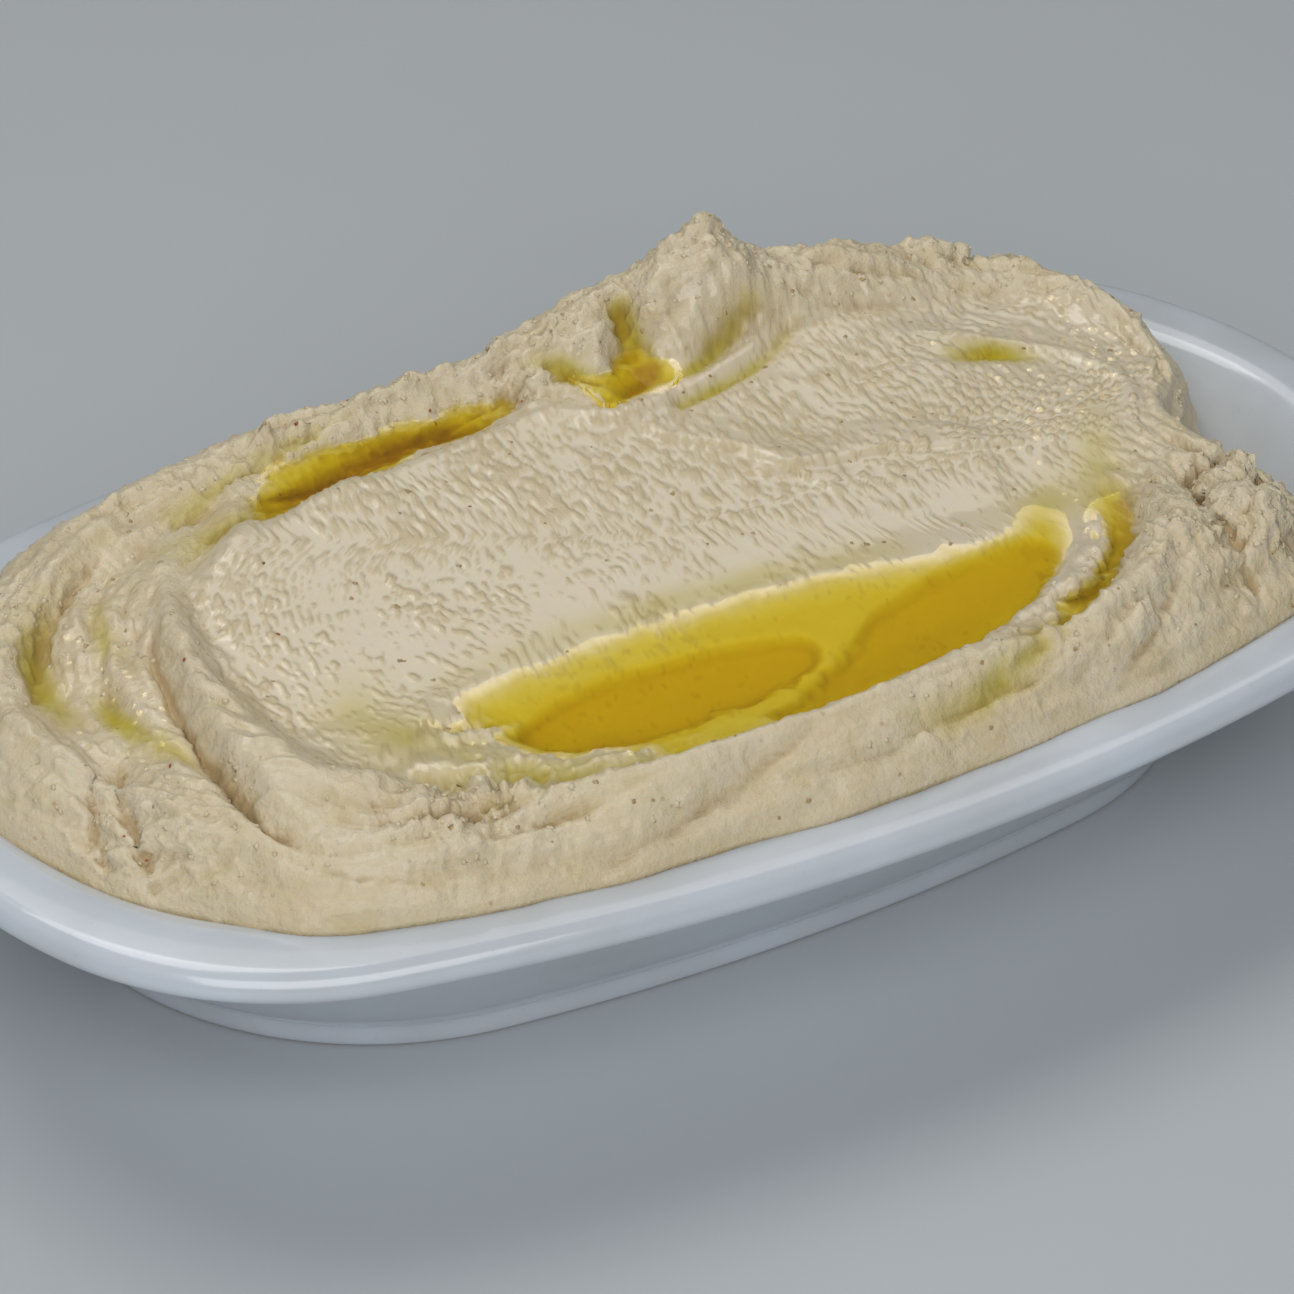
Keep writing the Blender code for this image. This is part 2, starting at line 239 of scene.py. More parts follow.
# %% Dish outline and section
RIM = {"half_width": 70.0, "side": 78.1, "side_turn": 0.234, "corner": 49.0, "end": 35.0, "end_turn": 0.436}
FOOT = {"half_width": 40.2, "side": 48.3, "side_turn": 0.145, "corner": 50.2, "end": 1.6, "end_turn": 0.293}
FOOT_INSET = 29.4  # how far the foot's outline lies inside the rim's
DISH_HEIGHT = 37.7
DISH_FLOOR = 7.5
INSIDE_SECTION = (
    (36.0, DISH_FLOOR), (32.0, 9.0), (28.5, 12.0), (22.0, 21.0), (15.0, 31.0), (12.2, 34.8), (10.6, 36.6),
    (9.0, 37.4), (7.5, DISH_HEIGHT),
)  # fmt: skip
LIP_SECTION = ((3.0, DISH_HEIGHT), (1.4, 37.3), (0.4, 36.3), (0.0, 34.8), (0.4, 33.6), (1.6, 32.9))
OUTSIDE_SECTION = ((4.5, 32.4), (7.5, 30.8), (10.5, 27.5), (17.0, 18.5), (23.0, 10.5), (27.3, 5.6), (28.4, 4.6))
FOOT_SECTION = ((29.1, 4.0), (FOOT_INSET, 1.0), (30.2, 0.0), (33.6, 0.0), (34.6, 1.6))


def oval_point(shape, heading):
    """The point of an outline whose edge faces this way (0 faces +Y), from the three arcs of a quarter."""
    lean = np.arctan2(np.abs(np.sin(heading)), np.abs(np.cos(heading)))
    bends = (0.0, shape["side_turn"], np.pi / 2 - shape["end_turn"], np.pi / 2)
    radii = (shape["side"] / shape["side_turn"], shape["corner"], shape["end"] / shape["end_turn"])
    along, drop, half_width = np.zeros_like(lean), np.zeros_like(lean), 0.0
    for start, stop, radius in zip(bends, bends[1:], radii):
        reached = np.clip(lean, start, stop)
        along += radius * (np.sin(reached) - np.sin(start))
        drop += radius * (np.cos(start) - np.cos(reached))
        half_width += radius * (np.cos(start) - np.cos(stop))
    scale = shape["half_width"] / half_width
    x = np.sign(np.sin(heading)) * along * scale
    y = np.sign(np.cos(heading)) * (half_width - drop) * scale
    return np.stack([x, y], axis=-1)


def dish_point(heading, inset):
    """A point this far in from the rim's outline, on the way from the rim to the foot."""
    share = np.asarray(inset)[..., None] / FOOT_INSET
    return oval_point(RIM, heading) * (1 - share) + oval_point(FOOT, heading) * share


def dish_inside_height(inset):
    insets, heights = np.array(INSIDE_SECTION[::-1]).T
    return np.interp(inset, insets, heights)


def smooth_path(points, steps=8):
    """A curve through the points, as short straight pieces."""
    points = np.array(points, float)
    ends = [2 * points[0] - points[1]], [2 * points[-1] - points[-2]]
    points = np.concatenate([ends[0], points, ends[1]])
    t = np.arange(steps)[:, None] / steps
    path = []
    for a, b, c, d in zip(points, points[1:], points[2:], points[3:]):
        path.append(b + 0.5 * ((c - a) * t + (2 * a - 5 * b + 4 * c - d) * t**2 + (3 * b - a - 3 * c + d) * t**3))
    return np.concatenate([*path, points[-2:-1]])


print("rim", oval_point(RIM, np.array([0.0, np.pi / 2])).round(1).tolist())

# %% [markdown]
# ## The dish
# The real dish is pressed stoneware under a thick white glaze. Its wall rises from a foot ring to a wide
# flat lip. The frame's dish has sixty corners round its rim, which is enough for touching and
# weighing, but its highlights would break at each corner. A subdivision would soften the lip as well.
# Geometry Nodes can loft it instead: one chain of points runs round the rim, one round the foot and
# one down the section, and each point of a grid is set where its row and its column meet.

# %% Dish loft tree
ROUND_POINTS = 360
SECTION_STEPS = 4  # points between two stations of the section


def point_chain(name, points):
    """A mesh of loose points in order, which a tree can read by number."""
    mesh = bpy.data.meshes.new(name)
    mesh.from_pydata([tuple(point) for point in points], [], [])
    chain = bpy.data.objects.new(name, mesh)
    bpy.context.scene.collection.objects.link(chain)
    return chain


def make_loft_tree():
    """Lofts a skin between two outlines: each row of a grid is a share of the way from one to the other."""
    inputs = {
        "Geometry": ("Geometry", None),
        "Outer Outline": ("Object", None),
        "Inner Outline": ("Object", None),
        "Section": ("Object", None),
        "Points Round": ("Int", 8),
        "Section Points": ("Int", 8),
        "Glaze": ("Material", None),
    }
    tree, given, result = new_tree("loft_between_outlines", "GeometryNodeTree", inputs, {"Geometry": "Geometry"})
    last_column = maths(tree, "ADD", given["Points Round"], 1.0)
    grid = add_node(
        tree, "GeometryNodeMeshGrid", {"Vertices X": last_column, "Vertices Y": given["Section Points"]}
    ).outputs["Mesh"]
    number = add_node(tree, "GeometryNodeInputIndex").outputs[0]
    column = maths(tree, "FLOOR", maths(tree, "DIVIDE", number, given["Section Points"]))
    row = maths(tree, "SUBTRACT", number, maths(tree, "MULTIPLY", column, given["Section Points"]))
    column = maths(tree, "MODULO", column, given["Points Round"])

    def read_chain(source, index):
        points = add_node(tree, "GeometryNodeObjectInfo", {"Object": source}).outputs["Geometry"]
        place = add_node(tree, "GeometryNodeInputPosition").outputs[0]
        return add_node(
            tree, "GeometryNodeSampleIndex", {"Geometry": points, "Value": place, "Index": index},
            data_type="FLOAT_VECTOR",
        ).outputs["Value"]  # fmt: skip

    outer, inner = read_chain(given["Outer Outline"], column), read_chain(given["Inner Outline"], column)
    station = add_node(tree, "ShaderNodeSeparateXYZ", {0: read_chain(given["Section"], row)}).outputs
    span = add_node(tree, "ShaderNodeVectorMath", {0: inner, 1: outer}, operation="SUBTRACT").outputs[0]
    inwards = add_node(tree, "ShaderNodeVectorMath", {0: span, "Scale": station["X"]}, operation="SCALE").outputs[0]
    flat = add_node(tree, "ShaderNodeVectorMath", {0: outer, 1: inwards}, operation="ADD").outputs[0]
    rise = add_node(tree, "ShaderNodeCombineXYZ", {"Z": station["Z"]}).outputs[0]
    place = add_node(tree, "ShaderNodeVectorMath", {0: flat, 1: rise}, operation="ADD").outputs[0]
    skin = add_node(tree, "GeometryNodeSetPosition", {"Geometry": grid, "Position": place}).outputs[0]
    whole = add_node(tree, "GeometryNodeMergeByDistance", {"Geometry": skin, "Distance": 1e-6}).outputs[0]
    real = add_node(tree, "GeometryNodeRealizeInstances", {"Geometry": whole}).outputs[0]
    painted = add_node(tree, "GeometryNodeSetMaterial", {"Geometry": real, "Material": given["Glaze"]})
    tree.links.new(painted.outputs[0], result.inputs[0])
    return tree


def finished_mesh(carrier, tree, sizes, name):
    """Runs a tree on an object with these inputs, and returns its result as a plain mesh object."""
    modifier = carrier.modifiers.new("shape", "NODES")
    modifier.node_group = tree
    for item in tree.interface.items_tree:
        if item.in_out == "INPUT" and item.name in sizes:
            modifier[item.identifier] = sizes[item.name]
    graph = bpy.context.evaluated_depsgraph_get()
    mesh = bpy.data.meshes.new_from_object(carrier.evaluated_get(graph))
    mesh.name = name
    carrier.modifiers.remove(modifier)
    piece = bpy.data.objects.new(name, mesh)
    bpy.context.scene.collection.objects.link(piece)
    return piece


loft_tree = make_loft_tree()
print("loft tree:", len(loft_tree.nodes), "nodes")

# %% [markdown]
# ## Glaze
# White glaze is glass over a pale body: bluish where it lies thick, a trace warmer and darker where
# it thins over an edge, with a surface that is smooth but never flat. A clear coat over a satin base
# gives the double reflection, and a slow ripple in the normal bends the highlight along the lip.

# %% Glaze material
GLAZE_COLOUR = (0.60, 0.645, 0.70)
GLAZE_THIN = (0.52, 0.545, 0.57)
BARE_CLAY = (0.42, 0.38, 0.33)
FOOT_BARE_HEIGHT = 0.45  # the ring that stood on the kiln shelf carries no glaze


def make_glaze():
    material, tree, shader, place = new_material("white_glaze")
    cloud = noise(tree, place, 0.035, detail=3.0)
    colour = blend_colours(tree, remap(tree, cloud, 0.35, 0.7), GLAZE_COLOUR, GLAZE_THIN)
    fleck = remap(tree, noise(tree, place, 0.9, detail=1.0), 0.70, 0.78)
    flecked = blend_colours(tree, maths(tree, "MULTIPLY", fleck, 0.12), colour, (0.36, 0.35, 0.33))
    height = add_node(tree, "ShaderNodeSeparateXYZ", {0: place}).outputs["Z"]
    edge = maths(tree, "ADD", height, maths(tree, "MULTIPLY", noise(tree, place, 0.5), 0.3))
    bare = remap(tree, edge, FOOT_BARE_HEIGHT + 0.1, FOOT_BARE_HEIGHT - 0.1)
    tree.links.new(blend_colours(tree, bare, flecked, BARE_CLAY), shader.inputs["Base Color"])
    tree.links.new(remap(tree, bare, 0.0, 1.0, 0.22, 0.85), shader.inputs["Roughness"])
    tree.links.new(remap(tree, bare, 0.0, 1.0, 0.55, 0.0), shader.inputs["Coat Weight"])
    shader.inputs["Coat Roughness"].default_value = 0.06
    ripple = maths(tree, "ADD", noise(tree, place, 0.08, detail=1.0), maths(tree, "MULTIPLY", fleck, 0.05))
    bump = add_node(tree, "ShaderNodeBump", {"Height": ripple, "Strength": 0.25, "Distance": 0.6 * MM})
    tree.links.new(bump.outputs[0], shader.inputs["Normal"])
    return material


glaze = make_glaze()
print("glaze ready")

# %% Dish
def make_dish():
    headings = np.arange(ROUND_POINTS) * 2 * np.pi / ROUND_POINTS
    flat = np.zeros(ROUND_POINTS)
    rim = point_chain("rim_outline", np.column_stack([oval_point(RIM, headings), flat]) * MM)
    foot = point_chain("foot_outline", np.column_stack([oval_point(FOOT, headings), flat]) * MM)
    stations = smooth_path(INSIDE_SECTION + LIP_SECTION + OUTSIDE_SECTION + FOOT_SECTION, SECTION_STEPS)
    stations[:, 1] = np.maximum(stations[:, 1], 0.0)
    shares = np.column_stack([stations[:, 0] / FOOT_INSET, np.zeros(len(stations)), stations[:, 1] * MM])
    section = point_chain("dish_section", shares)
    sizes = {
        "Outer Outline": rim,
        "Inner Outline": foot,
        "Section": section,
        "Points Round": ROUND_POINTS,
        "Section Points": len(stations),
        "Glaze": glaze,
    }
    carrier = point_chain("carrier", [(0.0, 0.0, 0.0)])
    dish = finished_mesh(carrier, loft_tree, sizes, "glazed_dish")
    for helper in (rim, foot, section, carrier):
        bpy.data.objects.remove(helper)
    shape = bmesh.new()
    shape.from_mesh(dish.data)
    bmesh.ops.holes_fill(shape, edges=shape.edges, sides=0)
    bmesh.ops.recalc_face_normals(shape, faces=shape.faces)
    shape.to_mesh(dish.data)
    shape.free()
    dish.data.shade_smooth()
    dish.data.set_sharp_from_angle(angle=math.radians(60))
    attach(dish, "root")
    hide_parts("dish")
    return dish


dish = make_dish()
print("dish:", len(dish.data.polygons), "faces")

# %% [markdown]
# ## Noise for paste
# Hummus is a stiff paste: a spoon leaves smooth skin where it slides and torn, crumbly skin where it
# lifts. Both are shapes and not paint, so they are made as real bumps on a fine mesh. Blender
# has noise for one point at a time; the two functions below work on all points at once. The
# first gives soft bumps. The second gives round lumps with creases between them, as crumbs have.

# %% Noise on arrays of points
HASH_STEPS = (np.uint32(73856093), np.uint32(19349663), np.uint32(83492791))


def scatter(cells, seed):
    """A repeatable number from 0 to 1 for each whole-number cell."""
    mixed = np.full(cells.shape[:-1], (seed * 2654435761) & 0xFFFFFFFF, np.uint32)
    for axis, step in enumerate(HASH_STEPS):
        mixed ^= cells[..., axis].astype(np.int64).astype(np.uint32) * step
        mixed ^= mixed >> np.uint32(15)
        mixed *= np.uint32(0x2C1B3C6D)
        mixed ^= mixed >> np.uint32(12)
        mixed *= np.uint32(0x297A2D39)
        mixed ^= mixed >> np.uint32(15)
    return mixed / np.float64(2**32)


def soft_noise(points, size, seed):
    """Bumps from about -1 to 1, one for each size of length. size may differ along x, y and z."""
    scaled = points / np.asarray(size, float)
    base = np.floor(scaled)
    part = scaled - base
    fade = part**3 * (part * (part * 6 - 15) + 10)
    total = np.zeros(points.shape[:-1])
    for corner in itertools.product((0, 1), repeat=3):
        offset = np.array(corner)
        slope = np.stack([scatter(base + offset, seed + axis) for axis in range(3)], axis=-1) * 2 - 1
        weight = np.prod(np.where(offset == 1, fade, 1 - fade), axis=-1)
        total += weight * ((part - offset) * slope).sum(axis=-1)
    return total * 1.9


def rough_noise(points, size, seed, octaves=3, fading=0.5):
    """Soft bumps with finer bumps on them."""
    total, strength = 0.0, 1.0
    for octave in range(octaves):
        total = total + strength * soft_noise(points, np.asarray(size) / 2.0**octave, seed + 7 * octave)
        strength *= fading
    return total


def lumps(points, size, seed):
    """Round lumps: 1 on top of each, 0 in the creases between them."""
    scaled = points / np.asarray(size, float)
    base = np.floor(scaled)
    first = np.full(points.shape[:-1], 9.0)
    second = np.full(points.shape[:-1], 9.0)
    for corner in itertools.product((-1, 0, 1), repeat=3):
        cell = base + np.array(corner)
        seeded = np.stack([scatter(cell, seed + axis) for axis in range(3)], axis=-1)
        away = np.sqrt(((cell + seeded - scaled) ** 2).sum(axis=-1))
        second = np.minimum(second, np.maximum(first, away))
        first = np.minimum(first, away)
    return np.clip((second - first) * 1.6, 0, 1)


test_points = np.random.default_rng(3).uniform(0, 50, (2000, 3))
print("soft noise spreads by", soft_noise(test_points, 5.0, 1).std().round(3))

# %% [markdown]
# ## Strokes
# The heap is worked with a spoon, so most of its forms follow a path: ridges, grooves, creases and
# the lips of folds. A sculptor would drag a brush; here each stroke is a short list of points
# with a height at each, a width on its left and one on its right. A narrow side gives a steep
# drop, as at a fold's lip, and a sharpness of 1 gives a crease that is pinched along its line.

# %% Stroke helpers
def ease(share):
    share = np.clip(share, 0, 1)
    return share * share * (3 - 2 * share)


def nearest(points, x, y, steps=8):
    """Distance to the path through the points, the side (1 on its left), and the place along it, in points."""
    path = smooth_path(points, steps)
    distance = np.full(x.shape, np.inf)
    side, place = np.zeros(x.shape), np.zeros(x.shape)
    for i, (start, stop) in enumerate(zip(path, path[1:])):
        run = stop - start
        t = np.clip(((x - start[0]) * run[0] + (y - start[1]) * run[1]) / (run @ run), 0, 1)
        away_x, away_y = x - start[0] - t * run[0], y - start[1] - t * run[1]
        here = np.hypot(away_x, away_y)
        closer = here < distance
        distance = np.where(closer, here, distance)
        side = np.where(closer, np.sign(run[0] * away_y - run[1] * away_x), side)
        place = np.where(closer, (i + t) / steps, place)
    return distance, side, place


def at_place(values, place):
    values = np.atleast_1d(values)
    return np.interp(place, np.arange(len(values)), values)


def stroke(form, x, y):
    """Height of a stroke over each point. A form is (path, heights, left widths, right widths, sharpness)."""
    path, heights, left, right, sharpness = form
    low, high = np.min(path, axis=0), np.max(path, axis=0)
    reach = np.max([np.max(left), np.max(right)]) * (5.0 if sharpness < 1.5 else 2.6)
    near = (x > low[0] - reach) & (x < high[0] + reach) & (y > low[1] - reach) & (y < high[1] + reach)
    result = np.zeros(x.shape)
    if near.any():
        distance, side, place = nearest(path, x[near], y[near])
        width = np.where(side > 0, at_place(left, place), at_place(right, place))
        result[near] = at_place(heights, place) * np.exp(-((distance / width) ** sharpness))
    return result


def strokes(forms, x, y):
    return sum((stroke(form, x, y) for form in forms.values()), np.zeros(x.shape))


def depth_inside(outline, x, y):
    """How far a point lies inside a clockwise outline; less than 0 outside it."""
    distance, side, _ = nearest(outline + outline[:1], x, y)
    return -distance * side


def inside(polygon, x, y):
    """True where a point lies inside a closed outline."""
    ring = smooth_path(polygon + polygon[:1], 4)
    crossings = np.zeros(x.shape, bool)
    for (ax, ay), (bx, by) in zip(ring, ring[1:]):
        straddles = (ay > y) != (by > y)
        if ay != by:
            crossings ^= straddles & (x < (bx - ax) * (y - ay) / (by - ay) + ax)
    return crossings


print("stroke helpers ready")

# %% [markdown]
# ## Large form of the heap
# First come the masses: a level heap, a trough swept along it that climbs gently towards the back,
# a high torn ridge behind, a rolled wall at the left end and a low ridge in front. They repeat the
# frame's solid, so the look stays inside it, and everything finer is laid on them.

# %% Masses
EDGE_INSETS = (
    (-180, 7.6), (-150, 8.0), (-130, 12.0), (-110, 11.0), (-90, 10.0), (-60, 9.0), (-30, 8.5), (0, 8.5),
    (40, 8.5), (60, 9.0), (75, 17.0), (90, 23.0), (103, 26.0), (116, 27.0), (126, 19.0), (140, 12.0),
    (155, 9.5), (180, 7.6),
)  # fmt: skip
EDGE_ROUNDING = 10.0
HEAP_LEVEL = 45.5
TROUGH = (
    (-68, 0), (-63, 20), (-46, 27), (-22, 31), (6, 33), (36, 34), (62, 31), (82, 26), (86, 8), (74, -8),
    (61, -17), (51, -28), (38, -39), (16, -44), (-10, -46), (-34, -46), (-55, -38), (-67, -20),
)  # fmt: skip
TROUGH_WALL = 7.0
TROUGH_TILT = 0.125
TROUGH_LOW_EDGE = (-15.0, 44.07)  # (y, height) where the climbing floor ends and the level part begins
RIGHT_SHELF = (52.0, 26.0, 46.4)  # (x where it begins, length, height)
POOL_OUTLINE = (
    (-47, -30), (-46.5, -21), (-38, -18.6), (-28, -17.4), (-15, -17), (-2, -17.3), (10, -18.2), (18, -19.3),
    (25, -21), (33, -22.5), (40, -22.8), (45, -21.2), (49.5, -19), (52.5, -23), (51, -28), (46, -33.5),
    (38, -38.5), (31, -41.5), (22, -44.5), (6, -47), (-13, -48), (-31, -51), (-31, -44), (-36, -41), (-43, -37.5),
)  # fmt: skip
POOL_BED = (1.75, 8.5)  # (depth, width of its slope) of the shallow bed under the oil
RIDGES = {
    "back": (
        ((-86, 30), (-66, 44), (-40, 49), (-14, 49), (3, 47.5), (12, 47), (22, 46.5), (33, 46.5),
         (46, 48), (60, 48), (74, 45), (86, 37), (90, 22)),
        (1.5, 2.5, 4.0, 3.6, 8.2, 11.8, 14.0, 19.5, 10.5, 9.0, 6.0, 3.0, 1.0),
        (8, 8, 7, 7, 8, 9, 10, 10, 11, 11, 10, 8, 6),
        (9, 8, 7, 7, 11, 13, 14, 14, 17, 17, 14, 9, 6),
        2.0,
    ),
    "left_end": (
        ((-54, 34), (-67, 25), (-73.5, 9), (-75.5, -8), (-74, -28), (-63, -41), (-48, -50)),
        (0.8, 2.6, 3.8, 4.2, 4.2, 3.4, 1.2), 4.0, 4.2, 2.0,
    ),
    "front": (
        ((-66, -47), (-44, -53), (-20, -54), (4, -54), (27, -53), (44, -49), (54, -42), (63, -33)),
        (1.5, 3.0, 3.6, 3.6, 3.6, 3.8, 3.6, 2.4), 6.0, 6.0, 2.0,
    ),
    "torn_chunk": (((58, -46), (69, -40), (77, -28)), (2.0, 3.5, 2.0), 9.0, 9.0, 2.0),
    "right_end": (((88, 24), (89, 8), (84, -8), (80, -20)), (2.0, 1.5, 0.8, 1.5), 6.0, 6.0, 2.0),
}  # fmt: skip
GROOVES = {
    "back_channel": (((-45, 33), (-36, 36.5), (-18, 40.5), (-4, 41.5)), (-1.2, -3.4, -3.9, -2.8), 3.2, 4.0, 2.2),
    "back_pit": (((10, 32), (14, 37), (17.5, 43)), (-1.2, -3.0, -2.2), 2.6, 2.6, 2.0),
    "right_channel": (((30, -50), (37, -46.5), (44, -42.4), (51, -37.3), (58, -29.5), (61.5, -23)), (-1.6, -4.0, -4.8, -4.4, -3.4, -1.2), 3.0, 2.8, 2.2),
    "left_groove": (
        ((-82, 18), (-86, 5), (-85, -9), (-85, -24)), (-0.6, -1.4, -1.5, -0.4), 2.0, 2.4, 2.0,
    ),
    "torn_hollow": (((-66, -42), (-58, -46), (-46, -51)), (-1.6, -3.0, -1.5), 3.4, 4.0, 2.0),
    "outer_groove": (((-84, 28), (-91, 8), (-92, -12)), (-1.8, -2.5, -2.0), 5.0, 5.0, 2.0),
}  # fmt: skip


def trough_floor(x, y):
    low_y, low_height = TROUGH_LOW_EDGE
    start, length, shelf_height = RIGHT_SHELF
    bed_depth, bed_slope = POOL_BED
    shelf = ease((x - start) / length)
    at = np.stack([x, y, 0 * x], axis=-1)
    ragged = 0.8 * soft_noise(at, 4.5, 53) + 0.4 * soft_noise(at, 1.8, 54)
    bed = bed_depth * ease((depth_inside(POOL_OUTLINE, x, y) + ragged + 1.6) / bed_slope)
    swept = low_height + TROUGH_TILT * np.maximum(y - low_y, 0) - bed
    return swept * (1 - shelf) + shelf_height * shelf


def outside_trough(x, y):
    """0 on the trough's floor, 1 on the land round it."""
    return ease((1.0 - depth_inside(TROUGH, x, y)) / TROUGH_WALL)


def edge_inset(heading):
    """How far in from the rim the hummus meets the dish, smoothed over about 15 degrees."""
    headings, insets = np.array(EDGE_INSETS).T
    spread = np.arange(-8, 9)
    weights = 9.0 - np.abs(spread)
    turned = (np.degrees(heading)[..., None] + spread + 180) % 360 - 180
    return (np.interp(turned, headings, insets) * weights).sum(axis=-1) / weights.sum()


print("masses:", len(RIDGES), "ridges,", len(GROOVES), "grooves")

# %% [markdown]
# ## Folds, tears and lips
# On the masses lie the marks of the spoon and of the paste's own weight: creases where a fold closed
# over itself, a torn cavity at the left, terraces along the front roll, a broken chunk at the right with
# two deep cracks, thin lips along the channels, and spikes where the spoon was pulled away.
# They could be sculpted by hand, but strokes can be read, changed and made again.

